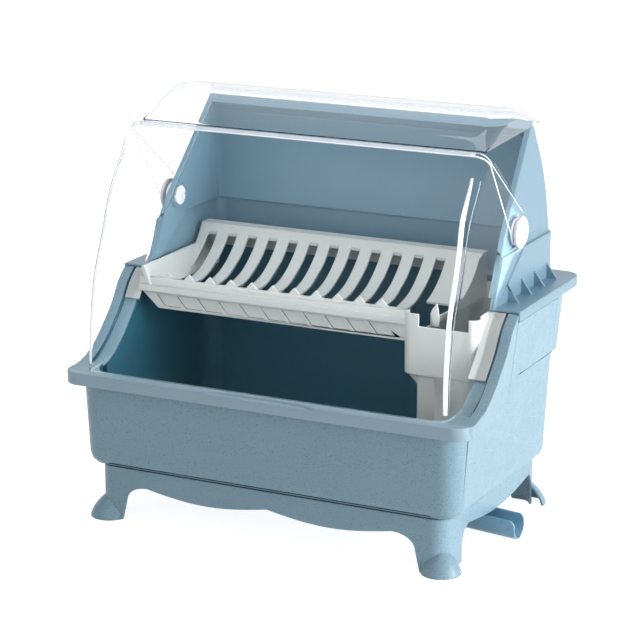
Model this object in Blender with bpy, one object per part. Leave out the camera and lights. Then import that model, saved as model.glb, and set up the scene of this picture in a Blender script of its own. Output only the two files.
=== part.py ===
"""Plastic dish rack with a flip-up clear door, as separate pieces.

Metres, +Z up, -Y is the front. The origin lies on the table, under the middle of the rack.
"""
import math

import bmesh
import bpy
from mathutils import Matrix, Vector

# Fits and cuts shared by all pieces
GAP = 0.0003
CUT = 0.020
SHEET = 0.0025
ARC_STEPS = 6

# Widths, each from the one it is fitted to
BAND_HALF_WIDTH = 0.2204
TUB_RIM_HALF_WIDTH = BAND_HALF_WIDTH - 0.0108
TUB_LOW_HALF_WIDTH = TUB_RIM_HALF_WIDTH - 0.0044
BASIN_HALF_WIDTH = TUB_RIM_HALF_WIDTH - 0.0166
BASIN_LOW_HALF_WIDTH = BASIN_HALF_WIDTH - 0.0025
SHOULDER_TOP_HALF_WIDTH = BAND_HALF_WIDTH - 0.0018
SHOULDER_HALF_WIDTH = SHOULDER_TOP_HALF_WIDTH - 0.0048
SHELF_EDGE = BAND_HALF_WIDTH - 0.0124
STAND_HALF_WIDTH = TUB_LOW_HALF_WIDTH - 0.0142
COLLAR_HALF_WIDTH = BAND_HALF_WIDTH - 0.0254
COLLAR_FRONT_HALF_WIDTH = COLLAR_HALF_WIDTH - 0.0018
HOOD_HALF_WIDTH = COLLAR_HALF_WIDTH - 0.004
SEAT_FACE_X = HOOD_HALF_WIDTH - 0.0002
DOOR_HALF_WIDTH = HOOD_HALF_WIDTH + 0.005
KNOB_FACE_X = DOOR_HALF_WIDTH + 0.0045
COVER_HALF_WIDTH = HOOD_HALF_WIDTH - 0.003
HANGER_EDGE = SHELF_EDGE - 0.0015
RACK_LEFT = 0.007 - BASIN_HALF_WIDTH
WELL_RIGHT = BASIN_HALF_WIDTH - 0.004
WELL_WIDTH = 0.0795
WELL_LEFT = WELL_RIGHT - WELL_WIDTH
RACK_RIGHT = WELL_LEFT + SHEET
CHEEK_X = WELL_LEFT + 0.0265
BACK_RAIL_RIGHT = CHEEK_X + SHEET / 2

# Stand: footed frame with wavy aprons
STAND_FRONT = -0.129
STAND_BACK = 0.110
STAND_HEIGHT = 0.0555
STAND_CORNER = 0.015
STAND_WALL = 0.003
STAND_LEDGE = 0.021
LEG_WIDTH = 0.031
FRONT_LEG_DEPTH = 0.043
BACK_LEG_DEPTH = 0.012
LEG_SHOULDER_Z = 0.021
FRONT_APRON_Z = 0.037
FRONT_APRON_DIP = 0.0078
FRONT_APRON_REACH = STAND_HALF_WIDTH - 0.055
SIDE_APRON_Z = 0.0355
SIDE_APRON_DIP = 0.0082
SIDE_APRON_INSET = 0.016
LEG_TAPER = 0.005
FOOT_RADIUS = 0.0203
FOOT_HEIGHT = 0.0245
FOOT_STEPS = 28
FOOT_INSET = 0.007
FOOT_SETBACK = 0.0086

# Tub: deep basin with a raised rear half
TUB_LOW_FRONT = -0.1358
TUB_RIM_FRONT = -0.1393
TUB_LOW_BACK = 0.1045
TUB_RIM_BACK = 0.1105
TUB_SHOULDER_Z = 0.171
TUB_CORNER = 0.021
TUB_FOOT_ROUND = 0.012
TUB_WALL = 0.003
BAND_FRONT = -0.150
BAND_BOTTOM_Z = 0.1432
RIM_Z = 0.1563
BAND_CORNER = 0.020
BAND_GROOVE_WALL = 0.0028
CURVE_FRONT = -0.1250
CURVE_BACK = -0.0225
TUB_TOP_Z = 0.2362
SKIRT_BOTTOM_Z = 0.2285
SHOULDER_BACK = 0.1145
SHOULDER_TOP_BACK = 0.1172
FLARE_FRONT_Z = 0.143
FLARE_MIDDLE_Z = 0.109
FLARE_BACK_Z = 0.105
BASIN_SLIT = 0.008
SHELF_DROP = 0.003
POCKET_ROOF = 0.0095
NOTCH_HALF_LENGTH = 0.0625
NOTCH_DEPTH = 0.0025
NOTCH_REACH = 0.0075
DRAIN_X = BASIN_HALF_WIDTH - 0.081
DRAIN_Y = -0.007
SPIGOT_RADIUS = 0.011
DRAIN_HOLE_RADIUS = 0.008
SPIGOT_END_Z = 0.0425

# Drain spout: open trough that swivels on the spigot
TROUGH_RADIUS = 0.014
TROUGH_WALL = 0.0022
TROUGH_DEPTH = 0.0222
TROUGH_END_X = BAND_HALF_WIDTH - 0.0014
TROUGH_END_TOP_Z = 0.024
TROUGH_SLOPE = math.radians(4)
SOCKET_TOP_Z = 0.051
TROUGH_TIP_CUT = 0.007

# Hood: opaque rear shell
COLLAR_BACK = 0.135
COLLAR_TOP_Z = 0.285
COLLAR_CORNER = 0.014
HOOD_LEAN = 0.009
HOOD_TOP_Z = 0.403
HOOD_TOP_Y = 0.097
HOOD_BACK = 0.1293
HOOD_CORNER = 0.012
HOOD_EDGE_WIDTH = 0.006
FLANGE_BACK = 0.150
DEPTH = 0.300
FLANGE_TOP_Z = 0.239
FLANGE_CORNER = 0.018
FOLD_LOW_Y = -0.0135
FOLD_LOW_Z = 0.239
FOLD_HIGH_Y = 0.0515
GUSSET_COUNT = 4
GUSSET_HEIGHT = 0.017
GUSSET_REACH = 0.012
GUSSET_FIRST_Y = 0.010
GUSSET_PITCH = 0.0345

# Pivot: axis of the door and its hardware
PIVOT_Y = 0.0335
PIVOT_Z = 0.3035
HUB_RADIUS = 0.021
SHANK_RADIUS = 0.0077
SEAT_RADIUS = 0.0135
KNOB_RADIUS = 0.0165
KNOB_DOME = 0.0015
SCREW_RADIUS = 0.010
SCREW_HEAD = 0.0026
SCREW_SHANK_RADIUS = 0.003
SCREW_SLOT = 0.0018

# Clear door
DOOR_WALL = 0.002
DOOR_CORNER = 0.008
DOOR_BOTTOM_Y = -0.139
DOOR_TOP_Y = -0.049
DOOR_TOP_Z = 0.395
DOOR_LIP_RADIUS = 0.1228
DOOR_LIP_ANGLE = math.radians(131)
DOOR_FOOT_GAP = 0.0015
DOOR_FOOT_Z = 0.2425
HUB_TOP_ANGLE = math.radians(50)
HUB_FOOT_ANGLE = math.radians(-110)

# Clear top cover
COVER_WALL = 0.0018
COVER_ARC_Y = 0.031
COVER_ARC_Z = 0.334
COVER_TOP_Z = 0.4238
COVER_FRONT_ANGLE = math.radians(137)
COVER_JOIN_FRONT_ANGLE = math.radians(93)
COVER_JOIN_BACK_ANGLE = math.radians(88)
COVER_BACK_ANGLE = math.radians(54)
COVER_CORNER = 0.013

# Plate rack with its cutlery well
RACK_FRONT = -0.045
RACK_BACK = 0.097
RAIL_TOP_Z = 0.233
RAIL_BOTTOM_Z = 0.2185
RAIL_DEPTH = 0.008
RAIL_STEP = 0.002
BACK_RAIL_Z = 0.265
BACK_RAIL_DEPTH = 0.013
BACK_RAIL_DROP = 0.026
SLOT_COUNT = 12
SLOT_WIDTH = 0.0105
FIRST_SLOT_X = RACK_LEFT + 0.016
SLOT_PITCH = (RACK_RIGHT - 0.018 - FIRST_SLOT_X) / (SLOT_COUNT - 1)
SLOT_FRONT = -0.031
SLOT_BACK = 0.078
BAY_BACK = 0.030
TOOTH_HEIGHT = 0.007
WINDOW_SKIRT_Z = 0.2005
WINDOW_HEIGHT = 0.012
WINDOW_DEPTH = 0.0016
WINDOW_WIDTH = 0.019
WINDOW_SLANT = 0.005
WINDOW_COUNT = 11
WINDOW_FIRST_X = FIRST_SLOT_X + SLOT_PITCH / 2
RACK_PANEL_TOP_Z = 0.245
RACK_PANEL_INSET = 0.011
LUG_RIGHT = RACK_LEFT - 0.0034
SKIRT_LEFT = RACK_LEFT - 0.0025
SKIRT_LEFT_LOW = RACK_LEFT + 0.016
LEFT_HANGER_FRONT = -0.0445
RIGHT_HANGER_FRONT = -0.071
CHEEK_RISE = 0.006
CHEEK_TOOTH_Z = 0.2425
CHEEK_TOOTH_WIDTH = 0.0075
WELL_FRONT = -0.052
WELL_RIM_DROP = 0.0125
WELL_SIDE_DROP = 0.0295
WELL_POST_WIDTH = 0.0175
WELL_LEDGE_Z = 0.1715
WELL_CHAMFER = 0.0135
WELL_FLOOR_Z = 0.107
WELL_CORNER = 0.010
WELL_RECESS = 0.004
WELL_RECESS_RIGHT = WELL_LEFT + 0.035
WELL_SLOT_COUNT = 5

# Bowl grid on the tub's floor
GRID_HALF_WIDTH = BASIN_LOW_HALF_WIDTH - 0.0085
GRID_FRONT = -0.126
GRID_BACK = 0.094
GRID_TOP_Z = 0.077
GRID_FRAME = 0.008
GRID_BAR = 0.004
GRID_THICK = 0.003
GRID_SLOT_COUNT = 16
GRID_LEG_INSET = 0.014
GRID_LEG_RADIUS = 0.003

# Outlines as shares of the sizes they follow
SIDE_CURVE_SHARES = ((0.0, 0.0), (0.215, 0.061), (0.410, 0.213), (0.585, 0.415),
                     (0.732, 0.610), (0.854, 0.841), (1.0, 1.0))
DOOR_FRONT_SHARES = ((0.0, 0.0), (0.0, 0.045), (0.022, 0.190), (0.100, 0.370), (0.188, 0.470),
                     (0.310, 0.580), (0.489, 0.752), (0.733, 0.882), (0.855, 0.948),
                     (1.0, 1.0))
HOOD_FRONT_SHARES = ((0.0, 0.0), (0.120, 0.177), (0.187, 0.293), (0.263, 0.378), (0.398, 0.500),
                     (0.548, 0.616), (0.749, 0.780), (0.983, 0.976), (1.0, 1.0))
HOOD_BACK_SHARES = ((1.0, 1.0), (0.659, 0.847), (0.381, 0.678), (0.195, 0.525), (0.056, 0.339),
                    (0.009, 0.085), (0.0, 0.0))
FOOT_SHARES = ((1.0, 0.0), (0.985, 0.08), (0.935, 0.20), (0.830, 0.37), (0.695, 0.53),
               (0.530, 0.69), (0.325, 0.86), (0.150, 0.96), (0.030, 1.0))
RACK_SHEET_SHARES = ((0.0, 0.06), (0.25, 0.0), (0.42, 0.04), (0.57, 0.15), (0.70, 0.36),
                     (0.80, 0.60), (0.865, 0.84), (0.90, 1.0))

FRONT_FACING = Matrix.Rotation(math.radians(90), 4, 'X')
SIDE_FACING = Matrix.Rotation(math.radians(90), 4, 'Z') @ FRONT_FACING
UP_FACING = Matrix.Identity(4)


def clear_scene():
    for thing in list(bpy.data.objects):
        bpy.data.objects.remove(thing, do_unlink=True)


def new_collection(name):
    group = bpy.data.collections.new(name)
    bpy.context.scene.collection.children.link(group)
    return group


def plastic(name, colour, roughness, transmission=0.0):
    material = bpy.data.materials.new(name)
    material.use_nodes = True
    shader = material.node_tree.nodes["Principled BSDF"]
    shader.inputs["Base Color"].default_value = (*colour, 1.0)
    shader.inputs["Roughness"].default_value = roughness
    shader.inputs["Metallic"].default_value = 0.0
    shader.inputs["Transmission Weight"].default_value = transmission
    return material


clear_scene()
PARTS = new_collection("dish_rack")
CUTTERS = new_collection("cutters")

# Solids: primitives, plates cut from an outline, and lofts

def solid(name, form):
    """Puts a finished bmesh into an object among the cutters; a part is moved out of there."""
    bmesh.ops.recalc_face_normals(form, faces=form.faces)
    mesh = bpy.data.meshes.new(name)
    form.to_mesh(mesh)
    form.free()
    thing = bpy.data.objects.new(name, mesh)
    CUTTERS.objects.link(thing)
    thing.hide_render = True
    thing.display_type = 'WIRE'
    return thing


def box(name, x_span, y_span, z_span):
    form = bmesh.new()
    bmesh.ops.create_cube(form, size=1)
    middle = [(low + high) / 2 for low, high in (x_span, y_span, z_span)]
    sides = [high - low for low, high in (x_span, y_span, z_span)]
    bmesh.ops.scale(form, vec=sides, verts=form.verts)
    bmesh.ops.translate(form, vec=middle, verts=form.verts)
    return solid(name, form)


def rounded_box(name, x_span, y_span, z_span, corner):
    """A box whose upright edges are rounded."""
    form = bmesh.new()
    bmesh.ops.create_cube(form, size=1)
    upright = [edge for edge in form.edges if edge.verts[0].co.z != edge.verts[1].co.z]
    sides = [high - low for low, high in (x_span, y_span, z_span)]
    bmesh.ops.scale(form, vec=sides, verts=form.verts)
    bmesh.ops.bevel(form, geom=upright, offset=corner, segments=ARC_STEPS - 2, affect='EDGES',
                    profile=0.5, clamp_overlap=True)
    middle = [(low + high) / 2 for low, high in (x_span, y_span, z_span)]
    bmesh.ops.translate(form, vec=middle, verts=form.verts)
    return solid(name, form)


def tapered_box(name, z_span, low_plan, high_plan, corner, foot_round=0.0):
    """A box whose plan (half width, front, back) changes from foot to top, corners rounded."""
    form = bmesh.new()
    bmesh.ops.create_cube(form, size=1)
    for vert in form.verts:
        half, front, back = high_plan if vert.co.z > 0 else low_plan
        vert.co.x = math.copysign(half, vert.co.x)
        vert.co.y = back if vert.co.y > 0 else front
        vert.co.z = z_span[1] if vert.co.z > 0 else z_span[0]
    upright = [edge for edge in form.edges if edge.verts[0].co.z != edge.verts[1].co.z]
    bmesh.ops.bevel(form, geom=upright, offset=corner, segments=ARC_STEPS, affect='EDGES',
                    profile=0.5, clamp_overlap=True)
    if foot_round > 0:
        foot = [edge for edge in form.edges if max(v.co.z for v in edge.verts) < z_span[0] + GAP]
        bmesh.ops.bevel(form, geom=foot, offset=foot_round, segments=ARC_STEPS // 2,
                        affect='EDGES', profile=0.5, clamp_overlap=True)
    return solid(name, form)


def cylinder(name, centre, radius, span, along='X', steps=32, tip=None):
    """A round bar from span[0] to span[1] along X or Z, the centre given in the other two."""
    form = bmesh.new()
    bmesh.ops.create_cone(form, cap_ends=True, segments=steps, radius1=radius,
                          radius2=radius if tip is None else tip, depth=span[1] - span[0])
    middle = (span[0] + span[1]) / 2
    if along == 'X':
        turn = Matrix.Rotation(math.radians(90), 4, 'Y')
        place = Vector((middle, centre[0], centre[1]))
    else:
        turn = Matrix.Identity(4)
        place = Vector((centre[0], centre[1], middle))
    bmesh.ops.transform(form, matrix=Matrix.Translation(place) @ turn, verts=form.verts)
    return solid(name, form)


def bell(name, centre, radius, height):
    """A round foot that narrows from its brim up to its tip, and reaches below the table."""
    turns = [2 * math.pi * step / FOOT_STEPS for step in range(FOOT_STEPS)]
    shares = ((1.0, -CUT / height),) + FOOT_SHARES
    return loft(name, [[(centre[0] + radius * share * math.cos(turn),
                         centre[1] + radius * share * math.sin(turn), height * up)
                        for turn in turns] for share, up in shares])


def plate(name, outline, facing, span):
    """A flat outline given thickness: facing says which way its normal points, span where."""
    curve = bpy.data.curves.new(name, 'CURVE')
    curve.dimensions = '2D'
    curve.fill_mode = 'BOTH'
    curve.extrude = (span[1] - span[0]) / 2
    spline = curve.splines.new('POLY')
    spline.points.add(len(outline) - 1)
    for point, (across, up) in zip(spline.points, outline):
        point.co = (across, up, 0, 1)
    spline.use_cyclic_u = True
    guide = bpy.data.objects.new(name, curve)
    CUTTERS.objects.link(guide)
    normal = facing.to_3x3() @ Vector((0, 0, 1))
    guide.matrix_world = Matrix.Translation(normal * (span[0] + span[1]) / 2) @ facing
    bpy.context.view_layer.update()
    depsgraph = bpy.context.evaluated_depsgraph_get()
    mesh = bpy.data.meshes.new_from_object(guide.evaluated_get(depsgraph))
    form = bmesh.new()
    form.from_mesh(mesh)
    bmesh.ops.transform(form, matrix=guide.matrix_world, verts=form.verts)
    bmesh.ops.remove_doubles(form, verts=form.verts, dist=GAP / 30)
    bpy.data.objects.remove(guide, do_unlink=True)
    return solid(name, form)


def loft(name, sections):
    """A closed solid through equal rings of points, the first and last ring capped."""
    form = bmesh.new()
    rings = [[form.verts.new(point) for point in section] for section in sections]
    for ring, following in zip(rings, rings[1:]):
        for index in range(len(ring)):
            after = (index + 1) % len(ring)
            form.faces.new((ring[index], ring[after], following[after], following[index]))
    form.faces.new(rings[0])
    form.faces.new(rings[-1])
    return solid(name, form)


def mirrored(thing, name):
    form = bmesh.new()
    form.from_mesh(thing.data)
    bmesh.ops.scale(form, vec=(-1, 1, 1), verts=form.verts)
    return solid(name, form)


def combine(target, other, operation):
    """Joins, cuts or keeps what two solids share, and applies it."""
    modifier = target.modifiers.new(other.name, 'BOOLEAN')
    modifier.object = other
    modifier.operation = operation
    modifier.solver = 'EXACT'
    bpy.context.view_layer.update()
    depsgraph = bpy.context.evaluated_depsgraph_get()
    mesh = bpy.data.meshes.new_from_object(target.evaluated_get(depsgraph))
    target.modifiers.remove(modifier)
    old = target.data
    target.data = mesh
    bpy.data.meshes.remove(old)
    bpy.data.objects.remove(other, do_unlink=True)
    return target


def join(target, *others):
    for other in others:
        combine(target, other, 'UNION')
    return target


def cut(target, *others):
    for other in others:
        combine(target, other, 'DIFFERENCE')
    return target


def round_rim(thing, line, radius, steps):
    """Rounds the rim of a plate's two flat sides where it runs along a line of (Y, Z) points."""
    form = bmesh.new()
    form.from_mesh(thing.data)
    bmesh.ops.dissolve_limit(form, angle_limit=math.radians(0.1), verts=form.verts,
                             edges=form.edges)

    def on_line(co):
        return any(math.hypot(co.y - y, co.z - z) < GAP / 3 for y, z in line)

    edges = [edge for edge in form.edges
             if abs(edge.verts[0].co.x - edge.verts[1].co.x) < GAP
             and all(on_line(vert.co) for vert in edge.verts)]
    bmesh.ops.bevel(form, geom=edges, offset=radius, segments=steps, affect='EDGES',
                    profile=0.5, clamp_overlap=True)
    form.to_mesh(thing.data)
    form.free()
    return thing


def between(low, high, share):
    return (low[0] + (high[0] - low[0]) * share, low[1] + (high[1] - low[1]) * share)


def finish(thing, name, material, origin=(0, 0, 0)):
    """Names a piece, dresses it, gives it its origin and puts it among the parts."""
    form = bmesh.new()
    form.from_mesh(thing.data)
    bmesh.ops.remove_doubles(form, verts=form.verts, dist=GAP / 30)
    bmesh.ops.dissolve_degenerate(form, edges=form.edges, dist=GAP / 30)
    bmesh.ops.translate(form, vec=-Vector(origin), verts=form.verts)
    form.to_mesh(thing.data)
    form.free()
    thing.name = name
    thing.data.name = name
    thing.location = origin
    thing.data.materials.clear()
    thing.data.materials.append(material)
    thing.data.shade_smooth()
    thing.data.set_sharp_from_angle(angle=math.radians(32))
    thing.hide_render = False
    thing.display_type = 'TEXTURED'
    CUTTERS.objects.unlink(thing)
    PARTS.objects.link(thing)
    return thing


# Outlines in the side plane (Y, Z)

def arc(centre, radius, start, end, steps):
    angles = [start + (end - start) * step / steps for step in range(steps + 1)]
    return [(centre[0] + radius * math.cos(a), centre[1] + radius * math.sin(a)) for a in angles]


def from_shares(shares, low, high):
    """Points between two corners (Y, Z), each given as shares of the way."""
    return [(low[0] + (high[0] - low[0]) * across, low[1] + (high[1] - low[1]) * up)
            for across, up in shares]


def smooth(points, steps):
    """A Catmull-Rom curve through the points, with some steps for each span."""
    ends = [points[0]] + list(points) + [points[-1]]
    line = []
    for a, b, c, d in zip(ends, ends[1:], ends[2:], ends[3:]):
        for step in range(steps):
            t = step / steps
            line.append(tuple(
                (2 * b[i] + (c[i] - a[i]) * t + (2 * a[i] - 5 * b[i] + 4 * c[i] - d[i]) * t ** 2
                 + (3 * b[i] - a[i] - 3 * c[i] + d[i]) * t ** 3) / 2 for i in (0, 1)))
    return line + [tuple(points[-1])]


def beside(points, distance):
    """The line that runs beside another, to its left for a positive distance."""
    moved = []
    for index, point in enumerate(points):
        before = Vector(points[max(index - 1, 0)])
        after = Vector(points[min(index + 1, len(points) - 1)])
        along = (after - before).normalized()
        moved.append((point[0] - along.y * distance, point[1] + along.x * distance))
    return moved


def height_at(line, y):
    """The height of a line of (Y, Z) points at one Y, level beyond its ends."""
    if y <= line[0][0]:
        return line[0][1]
    for (y_low, z_low), (y_high, z_high) in zip(line, line[1:]):
        if y_low <= y <= y_high:
            return z_low + (z_high - z_low) * (y - y_low) / (y_high - y_low)
    return line[-1][1]


SIDE_CURVE = smooth(from_shares(SIDE_CURVE_SHARES, (CURVE_FRONT, RIM_Z),
                                (CURVE_BACK, TUB_TOP_Z)), 2)


def make_stand(material):
    plan = (STAND_HALF_WIDTH, STAND_FRONT, STAND_BACK)
    stand = tapered_box("stand", (0, STAND_HEIGHT), plan, plan, STAND_CORNER)
    inner = (STAND_HALF_WIDTH - STAND_WALL, STAND_FRONT + STAND_WALL, STAND_BACK - STAND_WALL)
    hollow = tapered_box("hollow", (-CUT, STAND_HEIGHT - STAND_WALL), inner, inner,
                         STAND_CORNER - STAND_WALL)
    hole = (STAND_HALF_WIDTH - STAND_LEDGE, STAND_FRONT + STAND_LEDGE, STAND_BACK - STAND_LEDGE)
    window = tapered_box("window", (0, STAND_HEIGHT + CUT), hole, hole, STAND_CORNER)
    cut(stand, hollow, window)

    leg_x = STAND_HALF_WIDTH - LEG_WIDTH
    shoulder = [(leg_x + LEG_TAPER, 0), (leg_x, LEG_SHOULDER_Z)]
    sweep = arc((FRONT_APRON_REACH, LEG_SHOULDER_Z), 1, 0, math.radians(90), ARC_STEPS)
    for across, up in sweep[1:-1]:
        shoulder.append((FRONT_APRON_REACH + (across - FRONT_APRON_REACH) * (leg_x - FRONT_APRON_REACH),
                         LEG_SHOULDER_Z + (up - LEG_SHOULDER_Z) * (FRONT_APRON_Z - LEG_SHOULDER_Z)))
    waves = 2 * ARC_STEPS
    lobes = []
    for step in range(2 * waves + 1):
        x = FRONT_APRON_REACH * (1 - step / waves)
        dip = abs(math.sin(math.pi * x / FRONT_APRON_REACH))
        lobes.append((x, FRONT_APRON_Z - FRONT_APRON_DIP * dip))
    right = [(leg_x + LEG_TAPER, -CUT)] + shoulder + lobes
    left = [(-across, up) for across, up in reversed(right[:len(shoulder) + 1])]
    cut(stand, plate("front_wave", right + left, FRONT_FACING,
                     (-STAND_BACK - CUT, -STAND_FRONT + CUT)))

    leg_front = STAND_FRONT + FRONT_LEG_DEPTH
    leg_back = STAND_BACK - BACK_LEG_DEPTH
    low = leg_front + SIDE_APRON_INSET
    high = leg_back - SIDE_APRON_INSET / 2
    wave = [(leg_front, -CUT), (leg_front, LEG_SHOULDER_Z + GAP)]
    wave.append((leg_front + SIDE_APRON_INSET / 3, SIDE_APRON_Z - SIDE_APRON_DIP / 2))
    for step in range(waves + 1):
        share = step / waves
        wave.append((low + (high - low) * share,
                     SIDE_APRON_Z - SIDE_APRON_DIP * math.sin(math.pi * share)))
    wave.append((leg_back, LEG_SHOULDER_Z))
    wave.append((leg_back, -CUT))
    cut(stand, plate("side_wave", wave, SIDE_FACING,
                     (-STAND_HALF_WIDTH - CUT, STAND_HALF_WIDTH + CUT)))

    for side in (-1, 1):
        for edge_y, inward, depth in ((STAND_FRONT, 1, FRONT_LEG_DEPTH),
                                      (STAND_BACK, -1, BACK_LEG_DEPTH)):
            centre = (side * (STAND_HALF_WIDTH - FOOT_INSET), edge_y + inward * FOOT_SETBACK)
            inner_x = side * (STAND_HALF_WIDTH - STAND_WALL / 2)
            inner_y = edge_y + inward * STAND_WALL / 2
            far_x = sorted((-side * CUT, side * (leg_x + LEG_TAPER + GAP)))
            far_y = sorted((0, edge_y + inward * (depth - GAP)))
            whole = STAND_HALF_WIDTH + CUT * 2
            clip = STAND_CORNER * 0.6
            leg_room = [(0, 0), (inner_x, 0), (inner_x, inner_y + inward * clip),
                        (inner_x - side * clip, inner_y), (0, inner_y)]
            foot = bell("foot", centre, FOOT_RADIUS, FOOT_HEIGHT)
            cut(foot, bell("foot_room", centre, FOOT_RADIUS - STAND_WALL, FOOT_HEIGHT - STAND_WALL),
                box("table", (-whole, whole), (-whole, whole), (-CUT * 2, 0)),
                plate("leg_room", leg_room, UP_FACING, (-CUT, CUT * 2)),
                box("beside_leg", far_x, (-whole, whole), (-CUT * 3, CUT * 3)),
                box("behind_leg", (-whole, whole), far_y, (-CUT * 3, CUT * 3)))
            join(stand, foot)
    return finish(stand, "stand", material)


def crease_z(y):
    """Height at which the tub's side begins to flare, falling from the rim to the back."""
    if y < 0:
        share = min(max((y - CURVE_FRONT) / -CURVE_FRONT, 0), 1)
        return FLARE_FRONT_Z + (FLARE_MIDDLE_Z - FLARE_FRONT_Z) * share
    return FLARE_MIDDLE_Z + (FLARE_BACK_Z - FLARE_MIDDLE_Z) * y / TUB_RIM_BACK


def tub_half_width(z):
    share = (z - STAND_HEIGHT) / (TUB_SHOULDER_Z - STAND_HEIGHT)
    return TUB_LOW_HALF_WIDTH + (TUB_RIM_HALF_WIDTH - TUB_LOW_HALF_WIDTH) * share


def make_tub(material):
    floor_z = STAND_HEIGHT + GAP
    low_plan = (TUB_LOW_HALF_WIDTH, TUB_LOW_FRONT, TUB_LOW_BACK)
    rim_plan = (TUB_RIM_HALF_WIDTH, TUB_RIM_FRONT, TUB_RIM_BACK)
    tub = tapered_box("tub", (floor_z, TUB_SHOULDER_Z), low_plan, rim_plan, TUB_CORNER,
                      TUB_FOOT_ROUND)
    band_plan = (BAND_HALF_WIDTH, BAND_FRONT, CURVE_FRONT + BAND_CORNER / 2)
    band = tapered_box("band", (BAND_BOTTOM_Z, RIM_Z), band_plan, band_plan, BAND_CORNER)
    groove = box("groove", (-TUB_LOW_HALF_WIDTH + BAND_CORNER, TUB_LOW_HALF_WIDTH - BAND_CORNER),
                 (BAND_FRONT + BAND_GROOVE_WALL, TUB_RIM_FRONT),
                 (BAND_BOTTOM_Z - CUT, RIM_Z - BAND_GROOVE_WALL))
    core = box("core", (-BASIN_HALF_WIDTH - TUB_WALL, BASIN_HALF_WIDTH + TUB_WALL),
               (TUB_LOW_FRONT, TUB_LOW_BACK), (BAND_BOTTOM_Z, TUB_TOP_Z))
    shoulder = tapered_box("shoulder", (TUB_SHOULDER_Z - GAP, SKIRT_BOTTOM_Z - GAP),
                           (SHOULDER_HALF_WIDTH, CURVE_BACK, SHOULDER_BACK),
                           (SHOULDER_TOP_HALF_WIDTH, CURVE_BACK, SHOULDER_TOP_BACK), TUB_CORNER)
    neck_half = BASIN_HALF_WIDTH + TUB_WALL - GAP
    neck = box("neck", (-neck_half, neck_half), (TUB_LOW_BACK - TUB_CORNER, TUB_RIM_BACK + TUB_WALL),
               (SKIRT_BOTTOM_Z - SHEET, TUB_TOP_Z - SHELF_DROP / 2))
    lip_half = BAND_HALF_WIDTH - SHEET - GAP
    lip_plan = (lip_half, CURVE_BACK - BAND_CORNER, FLANGE_BACK - SHEET - GAP)
    lip = tapered_box("lip", (TUB_TOP_Z - SHELF_DROP - SHEET, TUB_TOP_Z), lip_plan, lip_plan,
                      FLANGE_CORNER - SHEET)
    join(tub, cut(band, groove), core, shoulder, neck, lip)

    # Side flare from the crease up to the curved lip
    stations = [BAND_FRONT + BAND_CORNER, CURVE_FRONT]
    stations += [point[0] for point in SIDE_CURVE[2:-1]] + [CURVE_BACK - GAP]
    flare = []
    for y in stations:
        base_z = crease_z(y)
        top_z = height_at(SIDE_CURVE, y)
        flare.append([(BASIN_HALF_WIDTH, y, base_z), (tub_half_width(base_z) - GAP, y, base_z),
                      (BAND_HALF_WIDTH - GAP, y, top_z), (BASIN_HALF_WIDTH, y, top_z)])
    rear = []
    rear_top_z = SKIRT_BOTTOM_Z - GAP
    for y in (CURVE_BACK - GAP, 0, TUB_LOW_BACK - TUB_CORNER - GAP):
        base_z = crease_z(y)
        rear.append([(BASIN_HALF_WIDTH, y, base_z), (tub_half_width(base_z) - GAP, y, base_z),
                     (BAND_HALF_WIDTH - GAP * 2, y, rear_top_z), (BASIN_HALF_WIDTH, y, rear_top_z)])
    front_flare = loft("front_flare", flare)
    rear_flare = loft("rear_flare", rear)
    join(tub, mirrored(front_flare, "front_flare_left"), front_flare,
         mirrored(rear_flare, "rear_flare_left"), rear_flare)

    # Everything above the side curve and the rim goes
    above = [(BAND_FRONT - CUT, RIM_Z)] + SIDE_CURVE
    above += [(CURVE_BACK, TUB_TOP_Z + CUT), (BAND_FRONT - CUT, TUB_TOP_Z + CUT)]
    cut(tub, plate("above", above, SIDE_FACING, (-BAND_HALF_WIDTH - CUT, BAND_HALF_WIDTH + CUT)))

    # Basin
    basin_low = (BASIN_LOW_HALF_WIDTH, TUB_LOW_FRONT + TUB_WALL, TUB_LOW_BACK - TUB_WALL)
    basin_high = (BASIN_HALF_WIDTH, TUB_RIM_FRONT + TUB_WALL, TUB_RIM_BACK - TUB_WALL / 2)
    cut(tub, tapered_box("basin", (floor_z + TUB_WALL, TUB_TOP_Z + CUT), basin_low, basin_high,
                         TUB_CORNER - TUB_WALL))

    # Hollow between the inner and the outer side wall, open along a slit at its foot
    pocket_low = floor_z + TUB_FOOT_ROUND
    pocket = []
    pocket_back = TUB_LOW_BACK - TUB_CORNER - SHEET
    for y in [p[0] for p in SIDE_CURVE[3:-1]] + [CURVE_BACK, 0, pocket_back]:
        crease = crease_z(y)
        top_z = min(height_at(SIDE_CURVE, y) - POCKET_ROOF, SKIRT_BOTTOM_Z - 2 * SHEET - SHELF_DROP / 3)
        inner_x = BASIN_HALF_WIDTH + SHEET
        pocket.append([(inner_x, y, pocket_low),
                       (tub_half_width(pocket_low) - TUB_WALL, y, pocket_low),
                       (tub_half_width(crease) - TUB_WALL, y, crease),
                       (BAND_HALF_WIDTH - TUB_WALL * 2, y, top_z), (inner_x, y, top_z)])
    pocket = loft("pocket", pocket)
    slit = box("slit", (BASIN_LOW_HALF_WIDTH - TUB_WALL, tub_half_width(pocket_low) - TUB_WALL),
               (SIDE_CURVE[3][0] + GAP, pocket_back - GAP), (pocket_low + GAP, pocket_low + BASIN_SLIT))
    join(pocket, slit)
    cut(tub, mirrored(pocket, "pocket_left"), pocket)

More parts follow.
